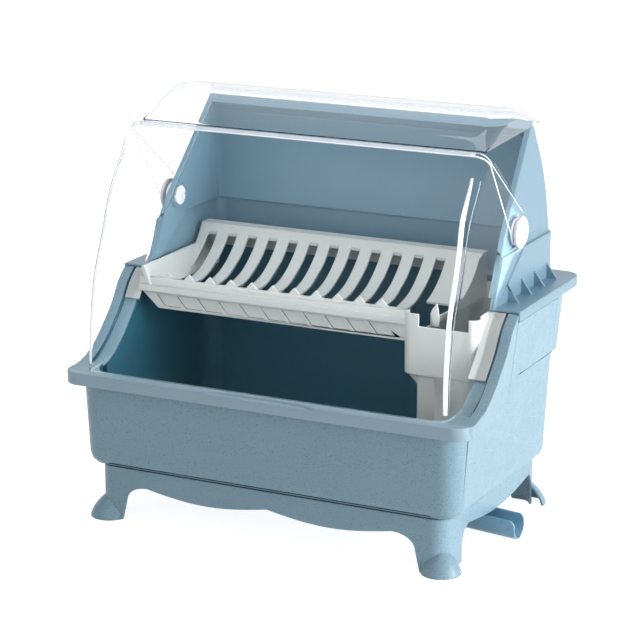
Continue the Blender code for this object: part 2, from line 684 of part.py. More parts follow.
    # Shelf one step below the lip, along both side curves and on to the rear
    shelf_line = beside(SIDE_CURVE, -SHELF_DROP)
    shelf = [(shelf_line[1][0], TUB_TOP_Z + CUT)] + shelf_line[1:-1]
    shelf += [(CURVE_BACK, TUB_TOP_Z - SHELF_DROP), (RACK_BACK, TUB_TOP_Z - SHELF_DROP),
              (RACK_BACK, TUB_TOP_Z + CUT)]
    for span in ((-SHELF_EDGE, -BASIN_LOW_HALF_WIDTH), (BASIN_LOW_HALF_WIDTH, SHELF_EDGE)):
        cut(tub, plate("shelf", shelf, SIDE_FACING, span))

    # Thumb notch in the rim's front edge
    notch = [(NOTCH_HALF_LENGTH, BAND_FRONT - CUT)]
    for step in range(ARC_STEPS * 2 + 1):
        share = 1 - step / ARC_STEPS
        reach = NOTCH_REACH * (1 - share ** 4)
        notch.append((NOTCH_HALF_LENGTH * share, BAND_FRONT + reach))
    notch.append((-NOTCH_HALF_LENGTH, BAND_FRONT - CUT))
    cut(tub, plate("notch", notch, UP_FACING, (RIM_Z - NOTCH_DEPTH, RIM_Z + CUT)))

    # Drain: spigot under the floor and a hole through both
    drain = (DRAIN_X, DRAIN_Y)
    join(tub, cylinder("spigot", drain, SPIGOT_RADIUS, (SPIGOT_END_Z, floor_z + TUB_WALL / 2), 'Z'))
    cut(tub, cylinder("drain_hole", drain, DRAIN_HOLE_RADIUS,
                      (SPIGOT_END_Z - CUT, floor_z + CUT), 'Z'))
    return finish(tub, "tub", material)


def trough_outline(radius, depth):
    low = [(-radius, depth - radius)]
    return low + arc((0, 0), radius, math.pi, 2 * math.pi, ARC_STEPS * 2) + [(radius, depth - radius)]


def make_spout(material):
    """U trough along +X, sloping down to its tip, with a socket round the tub's spigot."""
    length = TROUGH_END_X - DRAIN_X
    drop = length * math.tan(TROUGH_SLOPE)
    axis_top = TROUGH_END_TOP_Z + drop
    place = Matrix.Translation((DRAIN_X, DRAIN_Y, axis_top - TROUGH_DEPTH + TROUGH_RADIUS))
    lean = place @ Matrix.Rotation(TROUGH_SLOPE, 4, 'Y')

    def placed(thing):
        form = bmesh.new()
        form.from_mesh(thing.data)
        bmesh.ops.transform(form, matrix=lean, verts=form.verts)
        form.to_mesh(thing.data)
        form.free()
        return thing

    outer = placed(plate("outer", trough_outline(TROUGH_RADIUS, TROUGH_DEPTH), SIDE_FACING,
                         (0, length + CUT)))
    inner = placed(plate("inner", trough_outline(TROUGH_RADIUS - TROUGH_WALL, TROUGH_DEPTH + CUT),
                         SIDE_FACING, (0, length + CUT * 2)))
    bottom_z = axis_top - TROUGH_DEPTH
    drain = (DRAIN_X, DRAIN_Y)
    socket = cylinder("socket", drain, TROUGH_RADIUS, (bottom_z + TROUGH_WALL / 2, SOCKET_TOP_Z), 'Z')
    join(outer, socket)
    cut(outer, inner)
    cut(outer, cylinder("bore", drain, SPIGOT_RADIUS + GAP,
                        (bottom_z + TROUGH_WALL * 2, SOCKET_TOP_Z + CUT), 'Z'))
    cut(outer, box("tip", (TROUGH_END_X, TROUGH_END_X + CUT * 2),
                   (DRAIN_Y - CUT, DRAIN_Y + CUT), (-CUT, SOCKET_TOP_Z)))
    tip = [(TROUGH_END_X - TROUGH_TIP_CUT, TROUGH_END_TOP_Z + CUT),
           (TROUGH_END_X - TROUGH_TIP_CUT, TROUGH_END_TOP_Z + GAP * 2)]
    tip += arc((TROUGH_END_X - TROUGH_TIP_CUT, TROUGH_END_TOP_Z + GAP * 2 - TROUGH_TIP_CUT),
               TROUGH_TIP_CUT, math.radians(90), 0, ARC_STEPS)
    tip += [(TROUGH_END_X + CUT, TROUGH_END_TOP_Z - TROUGH_TIP_CUT),
            (TROUGH_END_X + CUT, TROUGH_END_TOP_Z + CUT)]
    cut(outer, plate("tip_corner", tip, FRONT_FACING, (-DRAIN_Y - TROUGH_RADIUS * 2,
                                                       -DRAIN_Y + TROUGH_RADIUS * 2)))
    return finish(outer, "drain_spout", material, (DRAIN_X, DRAIN_Y, SOCKET_TOP_Z))


def lean_in(thing):
    """Leans the hood's sides in, above its ledge."""
    form = bmesh.new()
    form.from_mesh(thing.data)
    bmesh.ops.bisect_plane(form, geom=form.verts[:] + form.edges[:] + form.faces[:],
                           plane_co=(0, 0, COLLAR_TOP_Z), plane_no=(0, 0, 1))
    form.to_mesh(thing.data)
    form.free()
    for vert in thing.data.vertices:
        rise = max(vert.co.z - COLLAR_TOP_Z, 0) / (HOOD_TOP_Z - COLLAR_TOP_Z)
        vert.co.x = math.copysign(abs(vert.co.x) - HOOD_LEAN * rise, vert.co.x)
    return thing


def hood_front():
    return from_shares(HOOD_FRONT_SHARES, (CURVE_BACK, FLANGE_TOP_Z), (HOOD_TOP_Y, HOOD_TOP_Z))


def hood_back(foot_z):
    back = from_shares(HOOD_BACK_SHARES, (HOOD_BACK, COLLAR_TOP_Z), (HOOD_TOP_Y, HOOD_TOP_Z))
    return back + [(HOOD_BACK, foot_z)]


def make_hood(material):
    underside = FLANGE_TOP_Z - SHEET
    front = [(CURVE_BACK, underside)] + hood_front()
    back = hood_back(underside)
    hood = plate("hood", front + back[1:], SIDE_FACING, (-HOOD_HALF_WIDTH, HOOD_HALF_WIDTH))
    lean_in(round_rim(hood, back[1:], HOOD_CORNER, ARC_STEPS - 2))
    collar_plan = (COLLAR_HALF_WIDTH, CURVE_BACK - CUT, COLLAR_BACK)
    collar = tapered_box("collar", (underside, COLLAR_TOP_Z), collar_plan, collar_plan,
                         COLLAR_CORNER)
    fold = [(CURVE_BACK - CUT * 2, FOLD_LOW_Z), (FOLD_LOW_Y, FOLD_LOW_Z),
            (FOLD_HIGH_Y, COLLAR_TOP_Z), (FOLD_HIGH_Y, COLLAR_TOP_Z + CUT),
            (CURVE_BACK - CUT * 2, COLLAR_TOP_Z + CUT)]
    for span in ((COLLAR_FRONT_HALF_WIDTH, COLLAR_HALF_WIDTH + CUT),
                 (-COLLAR_HALF_WIDTH - CUT, -COLLAR_FRONT_HALF_WIDTH)):
        cut(collar, plate("fold", fold, SIDE_FACING, span))
    ahead = [(y + GAP, z) for y, z in hood_front() if z < COLLAR_TOP_Z + CUT * 2]
    ahead = [(CURVE_BACK + GAP, underside - CUT)] + ahead
    ahead += [(CURVE_BACK - CUT * 2, ahead[-1][1]), (CURVE_BACK - CUT * 2, underside - CUT)]
    cut(collar, plate("ahead", ahead, SIDE_FACING,
                      (-COLLAR_HALF_WIDTH - CUT * 2, COLLAR_HALF_WIDTH + CUT * 2)))
    flange_plan = (BAND_HALF_WIDTH, CURVE_BACK - FLANGE_CORNER * 2, FLANGE_BACK)
    flange = tapered_box("flange", (SKIRT_BOTTOM_Z, FLANGE_TOP_Z), flange_plan, flange_plan,
                         FLANGE_CORNER)
    under_plan = (BAND_HALF_WIDTH - SHEET, CURVE_BACK - FLANGE_CORNER * 3, FLANGE_BACK - SHEET)
    cut(flange, tapered_box("under", (SKIRT_BOTTOM_Z - CUT, underside), under_plan, under_plan,
                            FLANGE_CORNER - SHEET))
    join(collar, flange)
    for index in range(GUSSET_COUNT):
        y = GUSSET_FIRST_Y + GUSSET_PITCH * index
        fin = [(COLLAR_HALF_WIDTH - GAP, FLANGE_TOP_Z - GAP),
               (COLLAR_HALF_WIDTH + GUSSET_REACH, FLANGE_TOP_Z - GAP),
               (COLLAR_HALF_WIDTH - GAP, FLANGE_TOP_Z + GUSSET_HEIGHT)]
        fin = plate("gusset", fin, FRONT_FACING, (-y - SHEET / 2, -y + SHEET / 2))
        join(collar, mirrored(fin, "gusset_left"), fin)
    join(hood, collar)

    # Room inside, and the mouth through its turned-in front edge
    edge = beside(hood_front(), -SHEET)
    inner_back = beside(back, -SHEET)
    low_z = SKIRT_BOTTOM_Z - CUT
    tip_front = between(edge[-3], edge[-2], 0.9)
    tip_back = between(inner_back[0], inner_back[1], 0.45)
    room = [(edge[0][0], low_z)] + edge[:-2] + [tip_front, tip_back] + inner_back[1:-1]
    room += [(inner_back[-1][0], low_z)]
    inner_half = HOOD_HALF_WIDTH - SHEET
    room = plate("room", room, SIDE_FACING, (-inner_half, inner_half))
    lean_in(round_rim(room, inner_back[1:-1] + [(inner_back[-1][0], low_z)],
                      HOOD_CORNER - SHEET, ARC_STEPS - 2))
    facing_out = Vector((-HOOD_TOP_Z, HOOD_TOP_Y + DEPTH / 2)).normalized() * CUT * 3
    mouth = [(CURVE_BACK - CUT * 2, low_z + GAP), (inner_back[-1][0] - CUT, low_z + GAP),
             (inner_back[-1][0] - CUT, COLLAR_TOP_Z),
             (tip_front[0] - facing_out.x / 4, tip_front[1] - facing_out.y / 4 - SHEET),
             (tip_front[0] + facing_out.x, tip_front[1] + facing_out.y - SHEET),
             (CURVE_BACK - CUT * 2, HOOD_TOP_Z + CUT)]
    mouth_half = HOOD_HALF_WIDTH - HOOD_EDGE_WIDTH
    mouth = lean_in(plate("mouth", mouth, SIDE_FACING, (-mouth_half, mouth_half)))
    heel = box("heel", (GAP - inner_half, inner_half - GAP), (CURVE_BACK - CUT, FOLD_LOW_Y + CUT),
               (low_z + GAP * 2, RACK_PANEL_TOP_Z + SHEET))
    cut(hood, room, mouth, heel)
    lower = [(FOLD_LOW_Y + SHEET * 2, low_z), (FOLD_LOW_Y + SHEET * 2, FOLD_LOW_Z),
             (FOLD_HIGH_Y, COLLAR_TOP_Z - SHEET), (COLLAR_BACK - SHEET, COLLAR_TOP_Z - SHEET),
             (COLLAR_BACK - SHEET, low_z)]
    lower_half = COLLAR_HALF_WIDTH - SHEET
    lower = plate("lower_room", lower, SIDE_FACING, (-lower_half, lower_half))
    round_rim(lower, [(COLLAR_BACK - SHEET, COLLAR_TOP_Z - SHEET), (COLLAR_BACK - SHEET, low_z)],
              COLLAR_CORNER - SHEET, ARC_STEPS)
    cut(hood, lower)
    cut(hood, box("front_trim", (-BAND_HALF_WIDTH - CUT, BAND_HALF_WIDTH + CUT),
                  (CURVE_BACK - CUT * 4, CURVE_BACK + GAP),
                  (SKIRT_BOTTOM_Z - CUT, FLANGE_TOP_Z + CUT)))
    for side in (-1, 1):
        pivot = (PIVOT_Y, PIVOT_Z)
        seat = cylinder("seat", pivot, SEAT_RADIUS,
                        sorted((side * (HOOD_HALF_WIDTH - 2 * SHEET), side * SEAT_FACE_X)))
        hole_span = sorted((side * (HOOD_HALF_WIDTH - CUT), side * (HOOD_HALF_WIDTH + CUT)))
        join(hood, seat)
        cut(hood, cylinder("pivot_hole", pivot, SHANK_RADIUS + GAP, hole_span))
    return finish(hood, "hood", material)


def make_cover(material):
    """Clear cap whose top follows one arc in front and the door's sweep behind."""
    radius = COVER_TOP_Z - COVER_ARC_Z
    back_radius = math.hypot(HOOD_TOP_Y - PIVOT_Y, HOOD_TOP_Z - PIVOT_Z) + GAP + COVER_WALL
    crown = arc((COVER_ARC_Y, COVER_ARC_Z), radius, COVER_FRONT_ANGLE, COVER_JOIN_FRONT_ANGLE,
                ARC_STEPS * 2)
    crown += arc((PIVOT_Y, PIVOT_Z), back_radius, COVER_JOIN_BACK_ANGLE, COVER_BACK_ANGLE,
                 ARC_STEPS)
    inside = beside(crown, -COVER_WALL)
    cover = plate("cover", crown, SIDE_FACING, (-COVER_HALF_WIDTH, COVER_HALF_WIDTH))
    round_rim(cover, crown, COVER_CORNER, ARC_STEPS - 2)
    inner_half = COVER_HALF_WIDTH - COVER_WALL
    first = inside[0]
    last = inside[-1]
    room = inside + [(last[0] + CUT, last[1] - CUT), (first[0] - CUT, first[1] - CUT)]
    room = plate("room", room, SIDE_FACING, (-inner_half, inner_half))
    round_rim(room, inside, COVER_CORNER - COVER_WALL, ARC_STEPS - 2)
    cut(cover, room)
    return finish(cover, "top_cover", material)


def make_door(material):
    """Clear front with two side arms that run up to the hubs."""
    pivot = (PIVOT_Y, PIVOT_Z)
    foot_z = RIM_Z + GAP
    front = from_shares(DOOR_FRONT_SHARES, (DOOR_BOTTOM_Y, foot_z), (DOOR_TOP_Y, DOOR_TOP_Z))
    start = math.atan2(DOOR_TOP_Z - PIVOT_Z, DOOR_TOP_Y - PIVOT_Y)
    front += arc(pivot, DOOR_LIP_RADIUS, start, DOOR_LIP_ANGLE, 3)[1:]
    hub = arc(pivot, HUB_RADIUS, HUB_TOP_ANGLE, HUB_FOOT_ANGLE, ARC_STEPS * 2)
    foot_y = CURVE_BACK - DOOR_FOOT_GAP
    foot = beside([p for p in SIDE_CURVE if p[0] < foot_y], GAP)
    lower = [(foot_y, DOOR_FOOT_Z), (foot_y, height_at(SIDE_CURVE, foot_y) + 2 * GAP)]
    lower += foot[:0:-1] + [(CURVE_FRONT, foot_z)]
    door = plate("door", front + hub + lower, SIDE_FACING, (-DOOR_HALF_WIDTH, DOOR_HALF_WIDTH))
    round_rim(door, front, DOOR_CORNER, ARC_STEPS - 2)
    inside = beside(front, -DOOR_WALL)
    low_z = RIM_Z - CUT
    inside = [(inside[0][0], low_z)] + inside
    back_y = PIVOT_Y + HUB_RADIUS + CUT
    room = inside + [(back_y, inside[-1][1] + CUT), (back_y, low_z)]
    inner_half = DOOR_HALF_WIDTH - DOOR_WALL
    room = plate("room", room, SIDE_FACING, (-inner_half, inner_half))
    round_rim(room, inside, DOOR_CORNER - DOOR_WALL, ARC_STEPS - 2)
    cut(door, room)
    cut(door, cylinder("hub_hole", pivot, SHANK_RADIUS + GAP,
                       (-DOOR_HALF_WIDTH - CUT, DOOR_HALF_WIDTH + CUT)))
    return finish(door, "door", material, (0, PIVOT_Y, PIVOT_Z))


def make_pivot(side, word, white):
    """Knob outside the hub, washer between hub and hood, slotted screw inside the hood."""
    pivot = (PIVOT_Y, PIVOT_Z)
    inner_face = HOOD_HALF_WIDTH - 2 * SHEET
    knob_back = DOOR_HALF_WIDTH + GAP
    shank_end = inner_face + GAP

    def bar(name, radius, low, high, tip=None):
        if side < 0:
            form = bmesh.new()
            thing = cylinder(name, pivot, radius, (low, high), 'X', 32, tip)
            form.from_mesh(thing.data)
            bmesh.ops.scale(form, vec=(-1, 1, 1), verts=form.verts)
            bpy.data.objects.remove(thing, do_unlink=True)
            return solid(name, form)
        return cylinder(name, pivot, radius, (low, high), 'X', 32, tip)

    knob = bar("knob", KNOB_RADIUS, knob_back, KNOB_FACE_X - KNOB_DOME)
    join(knob, bar("dome", KNOB_RADIUS - GAP, KNOB_FACE_X - KNOB_DOME - GAP, KNOB_FACE_X,
                   KNOB_RADIUS - KNOB_DOME * 2))
    join(knob, bar("shank", SHANK_RADIUS, shank_end, knob_back + GAP))
    cut(knob, bar("thread", SCREW_SHANK_RADIUS + GAP, shank_end - CUT, knob_back))
    finish(knob, "pivot_knob_" + word, white)

    washer = bar("washer", SEAT_RADIUS, SEAT_FACE_X + GAP, DOOR_HALF_WIDTH - DOOR_WALL - GAP)
    cut(washer, bar("washer_hole", SHANK_RADIUS + GAP, 0, KNOB_FACE_X))
    finish(washer, "pivot_washer_" + word, white)

    head_top = inner_face - GAP
    screw = bar("screw", SCREW_RADIUS, head_top - SCREW_HEAD, head_top)
    join(screw, bar("screw_shank", SCREW_SHANK_RADIUS, head_top - GAP, knob_back - SHEET))
    slot_x = sorted((side * (head_top - SCREW_HEAD - CUT), side * (head_top - SCREW_HEAD / 2)))
    cut(screw, box("slot", slot_x, (PIVOT_Y - CUT, PIVOT_Y + CUT),
                   (PIVOT_Z - SCREW_SLOT / 2, PIVOT_Z + SCREW_SLOT / 2)))
    finish(screw, "pivot_screw_" + word, white)


def make_rack(material):
    """White rack: slotted concave sheet, rails, teeth, blind windows, hangers, cutlery well."""
    sheet_low = (RACK_FRONT + RAIL_DEPTH / 2, RAIL_BOTTOM_Z)
    sheet_high = (RACK_BACK, BACK_RAIL_Z)
    line = smooth(from_shares(RACK_SHEET_SHARES, sheet_low, sheet_high), 2)
    under = beside(line, -SHEET)
    rack = plate("rack", line + under[::-1], SIDE_FACING, (RACK_LEFT, CHEEK_X))
    for index in range(SLOT_COUNT):
        x = FIRST_SLOT_X + SLOT_PITCH * index
        slot = box("slot", (x - SLOT_WIDTH / 2, x + SLOT_WIDTH / 2), (SLOT_FRONT, SLOT_BACK),
                   (WINDOW_SKIRT_Z, BACK_RAIL_Z + CUT))
        cut(rack, slot)

    # Bay between the last slot and the cheek, open down into the tub and the well
    bay_right = CHEEK_X - SHEET / 2 + GAP
    bay_z = (RAIL_BOTTOM_Z - CUT, BACK_RAIL_Z + CUT)
    last_slot_x = FIRST_SLOT_X + SLOT_PITCH * (SLOT_COUNT - 1)
    cut(rack, box("bay", (last_slot_x, bay_right), (SLOT_FRONT, BAY_BACK), bay_z))
    cut(rack, box("bay_front", (RACK_RIGHT, bay_right), (RACK_FRONT - CUT, SLOT_FRONT + GAP), bay_z))

    # Front rail in two steps and back rail with its skirt
    step_z = (RAIL_TOP_Z + RAIL_BOTTOM_Z) / 2
    rail = [(RACK_FRONT, RAIL_BOTTOM_Z), (RACK_FRONT + RAIL_DEPTH, RAIL_BOTTOM_Z),
            (RACK_FRONT + RAIL_DEPTH, RAIL_TOP_Z), (RACK_FRONT + RAIL_STEP, RAIL_TOP_Z),
            (RACK_FRONT + RAIL_STEP, step_z), (RACK_FRONT, step_z)]
    back_low = RACK_BACK - BACK_RAIL_DEPTH
    back = [(back_low, BACK_RAIL_Z - SHEET), (back_low, BACK_RAIL_Z), (RACK_BACK, BACK_RAIL_Z),
            (RACK_BACK, BACK_RAIL_Z - BACK_RAIL_DROP),
            (RACK_BACK - SHEET, BACK_RAIL_Z - BACK_RAIL_DROP),
            (RACK_BACK - SHEET, BACK_RAIL_Z - SHEET)]
    join(rack, plate("rail", rail, SIDE_FACING, (LUG_RIGHT - 2 * GAP, RACK_RIGHT)),
         plate("back_rail", back, SIDE_FACING, (RACK_LEFT, BACK_RAIL_RIGHT)))

    # Teeth on the front rail, one in front of each rib
    for index in range(SLOT_COUNT - 1):
        low = FIRST_SLOT_X + SLOT_PITCH * index + SLOT_WIDTH / 2
        high = low + SLOT_PITCH - SLOT_WIDTH
        tooth = [(low, RAIL_TOP_Z - GAP), (high, RAIL_TOP_Z - GAP),
                 ((low + high) / 2, RAIL_TOP_Z + TOOTH_HEIGHT)]
        y = RACK_FRONT + RAIL_DEPTH - SHEET / 2 - GAP
        join(rack, plate("tooth", tooth, FRONT_FACING, (-y - SHEET / 2, -y + SHEET / 2)))

    # Skirt with a sloping left end and slanted blind windows under the rail
    skirt_y = RACK_FRONT + RAIL_DEPTH - SHEET
    skirt = plate("skirt", [(SKIRT_LEFT_LOW, WINDOW_SKIRT_Z), (RACK_RIGHT, WINDOW_SKIRT_Z),
                            (RACK_RIGHT, RAIL_BOTTOM_Z + GAP), (SKIRT_LEFT, RAIL_BOTTOM_Z + GAP),
                            (SKIRT_LEFT, RAIL_BOTTOM_Z - GAP * 5)],
                  FRONT_FACING, (-skirt_y - SHEET, -skirt_y))
    window_z = (WINDOW_SKIRT_Z + RAIL_BOTTOM_Z) / 2
    for index in range(WINDOW_COUNT):
        x = WINDOW_FIRST_X + SLOT_PITCH * index
        low = window_z - WINDOW_HEIGHT / 2
        high = window_z + WINDOW_HEIGHT / 2
        half = WINDOW_WIDTH / 2
        window = [(x - half + WINDOW_SLANT, low), (x + half + WINDOW_SLANT, low),
                  (x + half - WINDOW_SLANT, high), (x - half - WINDOW_SLANT, high)]
        cut(skirt, plate("window", window, FRONT_FACING,
                         (-skirt_y - WINDOW_DEPTH, -skirt_y + CUT)))
    join(rack, skirt)

    # Sloping left panel, with the flange and the hanger that lie on the tub's shelf
    panel = [(RACK_LEFT - GAP, RACK_PANEL_TOP_Z), (RACK_LEFT - GAP, RACK_PANEL_TOP_Z - SHEET * 2),
             (RACK_LEFT + RACK_PANEL_INSET, RAIL_BOTTOM_Z - GAP),
             (RACK_LEFT + RACK_PANEL_INSET + SHEET, RAIL_BOTTOM_Z - GAP),
             (RACK_LEFT + SHEET, RACK_PANEL_TOP_Z)]
    join(rack, plate("panel", panel, FRONT_FACING, (GAP - RACK_BACK, -RACK_FRONT - GAP)))
    shelf_z = TUB_TOP_Z - SHELF_DROP + GAP
    shelf_line = beside(SIDE_CURVE, -SHELF_DROP + GAP)

    def hanger(name, front_y, back_y, x_span):
        """A strip that follows the shelf, from one Y to another."""
        low = [p for p in shelf_line if front_y < p[0] < min(back_y, CURVE_BACK)]
        low = [(front_y, height_at(shelf_line, front_y))] + low
        if back_y > CURVE_BACK:
            low += [(CURVE_BACK, shelf_z), (back_y, shelf_z)]
        else:
            low += [(back_y, height_at(shelf_line, back_y))]
        high = beside(low, SHEET)
        return plate(name, low + high[::-1], SIDE_FACING, x_span)

    left = hanger("left_hanger", LEFT_HANGER_FRONT, RACK_BACK - SHEET,
                  (-HANGER_EDGE, RACK_LEFT + SHEET * 2))
    cut(left, box("lug_side", (LUG_RIGHT, RACK_LEFT + CUT),
                  (LEFT_HANGER_FRONT - CUT, RACK_FRONT + RAIL_DEPTH - GAP),
                  (WINDOW_SKIRT_Z, RACK_PANEL_TOP_Z)))
    join(rack, left)

    # Cutlery well: a stepped box with a chamfered left foot, open on top
    well_top_z = shelf_z + SHEET
    well_back = RACK_BACK - GAP
    low_left = WELL_LEFT + WELL_CHAMFER
    low_right = WELL_RIGHT - GAP
    well = rounded_box("well", (WELL_LEFT, WELL_RIGHT), (WELL_FRONT, well_back),
                       (WELL_LEDGE_Z, RAIL_TOP_Z - GAP), WELL_CORNER)
    lower = rounded_box("lower", (low_left, low_right), (WELL_FRONT + GAP, well_back - GAP),
                        (WELL_FLOOR_Z, WELL_LEDGE_Z + GAP), WELL_CORNER)
    cut(lower, box("recess", (low_left - CUT, WELL_RECESS_RIGHT),
                   (WELL_FRONT - CUT, WELL_FRONT + WELL_RECESS),
                   (WELL_FLOOR_Z - CUT, WELL_LEDGE_Z - GAP)))
    wedge = [(WELL_LEFT + GAP, WELL_LEDGE_Z + GAP), (low_left + SHEET, WELL_LEDGE_Z + GAP),
             (low_left + SHEET, WELL_LEDGE_Z - WELL_CHAMFER),
             (low_left - GAP, WELL_LEDGE_Z - WELL_CHAMFER)]
    join(well, lower, plate("wedge", wedge, FRONT_FACING,
                            (WELL_CORNER - well_back, -WELL_FRONT - WELL_CORNER)))
    room_back = well_back - SHEET
    cut(well, rounded_box("upper_room", (WELL_LEFT + SHEET, WELL_RIGHT - SHEET),
                          (WELL_FRONT + SHEET, room_back),
                          (WELL_LEDGE_Z + SHEET, RAIL_TOP_Z + CUT), WELL_CORNER - SHEET))
    cut(well, rounded_box("lower_room", (low_left + SHEET, low_right - SHEET),
                          (WELL_FRONT + WELL_RECESS + SHEET, room_back - GAP),
                          (WELL_FLOOR_Z + SHEET, WELL_LEDGE_Z + SHEET + GAP),
                          WELL_CORNER - SHEET))
    slot_low = low_left + SHEET * 3
    for index in range(WELL_SLOT_COUNT):
        y = WELL_FRONT + (RACK_BACK - WELL_FRONT) * (index + 1) / (WELL_SLOT_COUNT + 1)
        cut(well, box("well_slot", (slot_low, WELL_RIGHT - SHEET * 3),
                      (y - SHEET, y + SHEET), (WELL_FLOOR_Z - CUT, WELL_FLOOR_Z + CUT)))

    # Behind its corner post the well is lower on the left, and beside the post in front
    cut(well, box("side_drop", (WELL_LEFT - CUT, WELL_LEFT + SHEET + GAP),
                  (WELL_FRONT + WELL_CORNER, room_back - GAP),
                  (RAIL_TOP_Z - WELL_SIDE_DROP, RAIL_TOP_Z + CUT)))
    cut(well, box("rim_drop", (WELL_LEFT + WELL_POST_WIDTH, WELL_RIGHT - WELL_CORNER),
                  (WELL_FRONT - CUT, WELL_FRONT + WELL_CORNER),
                  (RAIL_TOP_Z - WELL_RIM_DROP, RAIL_TOP_Z + CUT)))
    join(rack, well)

    # Cheek beside the last slot, and the end of the back rail
    inner_y = RACK_BACK - SHEET / 2
    cheek = [(RACK_FRONT + RAIL_DEPTH / 2, RAIL_BOTTOM_Z + GAP),
             (RACK_FRONT + RAIL_DEPTH / 2, RAIL_TOP_Z - GAP)]
    cheek += [p for p in beside(line, CHEEK_RISE) if RACK_FRONT + CUT < p[0] < back_low - GAP
              and p[1] < BACK_RAIL_Z - SHEET]
    cheek += [(back_low + SHEET, BACK_RAIL_Z - SHEET / 2), (inner_y, BACK_RAIL_Z - SHEET / 2),
              (inner_y, RAIL_BOTTOM_Z + GAP)]
    tooth_low = RAIL_BOTTOM_Z + GAP * 2
    tooth = [(CHEEK_X - GAP, tooth_low), (CHEEK_X + CHEEK_TOOTH_WIDTH, tooth_low),
             (CHEEK_X + CHEEK_TOOTH_WIDTH, CHEEK_TOOTH_Z - CHEEK_TOOTH_WIDTH * 1.5),
             (CHEEK_X + CHEEK_TOOTH_WIDTH * 0.7, CHEEK_TOOTH_Z),
             (CHEEK_X - GAP, CHEEK_TOOTH_Z - CHEEK_TOOTH_WIDTH)]
    tooth_y = RACK_FRONT + RAIL_DEPTH / 2 + GAP
    join(rack, plate("cheek", cheek, SIDE_FACING, (CHEEK_X - SHEET / 2, CHEEK_X + SHEET / 2)),
         plate("cheek_tooth", tooth, FRONT_FACING, (-tooth_y - SHEET, -tooth_y)))

    # Flange and hanger of the well on the right shelf
    lip_x = WELL_RIGHT - SHEET / 2
    lip_span = (WELL_FRONT + WELL_CORNER, well_back - WELL_CORNER)
    join(rack, box("well_lip", (WELL_RIGHT - SHEET + GAP, lip_x), lip_span,
                   (RAIL_TOP_Z - SHEET, well_top_z - GAP)),
         hanger("right_flange", RIGHT_HANGER_FRONT, lip_span[1] - GAP, (lip_x - GAP, HANGER_EDGE)))
    return finish(rack, "plate_rack", material)


def make_grid(material):
    """Perforated grid on four feet that keeps bowls above the water."""
    plan = (GRID_HALF_WIDTH, GRID_FRONT, GRID_BACK)
    grid = tapered_box("grid", (GRID_TOP_Z - GRID_THICK, GRID_TOP_Z), plan, plan, TUB_CORNER / 2)
    pitch = 2 * (GRID_HALF_WIDTH - GRID_FRAME) / GRID_SLOT_COUNT
    middle = (GRID_FRONT + GRID_BACK) / 2
    for index in range(GRID_SLOT_COUNT):
        low = -GRID_HALF_WIDTH + GRID_FRAME + pitch * index + GRID_BAR / 2
        high = low + pitch - GRID_BAR
        for span in ((GRID_FRONT + GRID_FRAME, middle - GRID_BAR / 2),
                     (middle + GRID_BAR / 2, GRID_BACK - GRID_FRAME)):
            cut(grid, box("grid_slot", (low, high), span, (0, GRID_TOP_Z + CUT)))
    floor_z = STAND_HEIGHT + GAP + TUB_WALL + GAP
    for x in (-GRID_HALF_WIDTH + GRID_LEG_INSET, GRID_HALF_WIDTH - GRID_LEG_INSET):
        for y in (GRID_FRONT + GRID_FRAME / 2, GRID_BACK - GRID_FRAME / 2):
            join(grid, cylinder("grid_leg", (x, y), GRID_LEG_RADIUS,
                                (floor_z, GRID_TOP_Z - GRID_THICK / 2), 'Z', 12))
    return finish(grid, "bowl_grid", material)


def main():
    blue = plastic("speckled_blue_plastic", (0.20, 0.33, 0.40), 0.35)
    hood_blue = plastic("hood_blue_plastic", (0.17, 0.29, 0.38), 0.35)
    white = plastic("white_plastic", (0.62, 0.64, 0.62), 0.4)
    knob_white = plastic("knob_white_plastic", (0.80, 0.80, 0.82), 0.3)
    clear = plastic("clear_plastic", (0.95, 0.96, 0.97), 0.05, 1.0)
    make_stand(blue)
    make_tub(blue)
    make_spout(blue)
    make_hood(hood_blue)
    make_cover(clear)
    make_door(clear)
    for side, word in ((-1, "left"), (1, "right")):
        make_pivot(side, word, knob_white)
    make_rack(white)
    make_grid(white)


main()
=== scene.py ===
"""Looks of the plastic dish rack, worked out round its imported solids. Metres, +Z up, -Y is the front."""
import math

import bmesh
import bpy
import numpy as np
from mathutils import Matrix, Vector
from mathutils.bvhtree import BVHTree


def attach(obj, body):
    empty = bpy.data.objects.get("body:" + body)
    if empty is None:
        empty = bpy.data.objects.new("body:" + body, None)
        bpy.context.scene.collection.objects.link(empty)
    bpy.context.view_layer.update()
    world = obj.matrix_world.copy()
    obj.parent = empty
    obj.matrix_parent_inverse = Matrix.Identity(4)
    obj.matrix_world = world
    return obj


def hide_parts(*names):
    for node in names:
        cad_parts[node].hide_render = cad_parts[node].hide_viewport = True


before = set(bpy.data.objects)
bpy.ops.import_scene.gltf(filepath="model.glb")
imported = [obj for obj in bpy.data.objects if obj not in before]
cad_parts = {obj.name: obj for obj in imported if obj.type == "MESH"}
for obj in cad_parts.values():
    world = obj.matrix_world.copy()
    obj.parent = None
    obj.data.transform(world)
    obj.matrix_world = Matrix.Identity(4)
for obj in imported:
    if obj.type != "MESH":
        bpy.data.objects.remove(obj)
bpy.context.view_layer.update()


# Camera. The product picture looks at the rack from its front right, a little from above,
# through a long lens.
CAMERA_PLACE = (1.041, -2.117, 0.851)
CAMERA_TARGET = (-0.0072, 0.005, 0.1966)
CAMERA_LENS = 136.1
CAMERA_SENSOR = 36

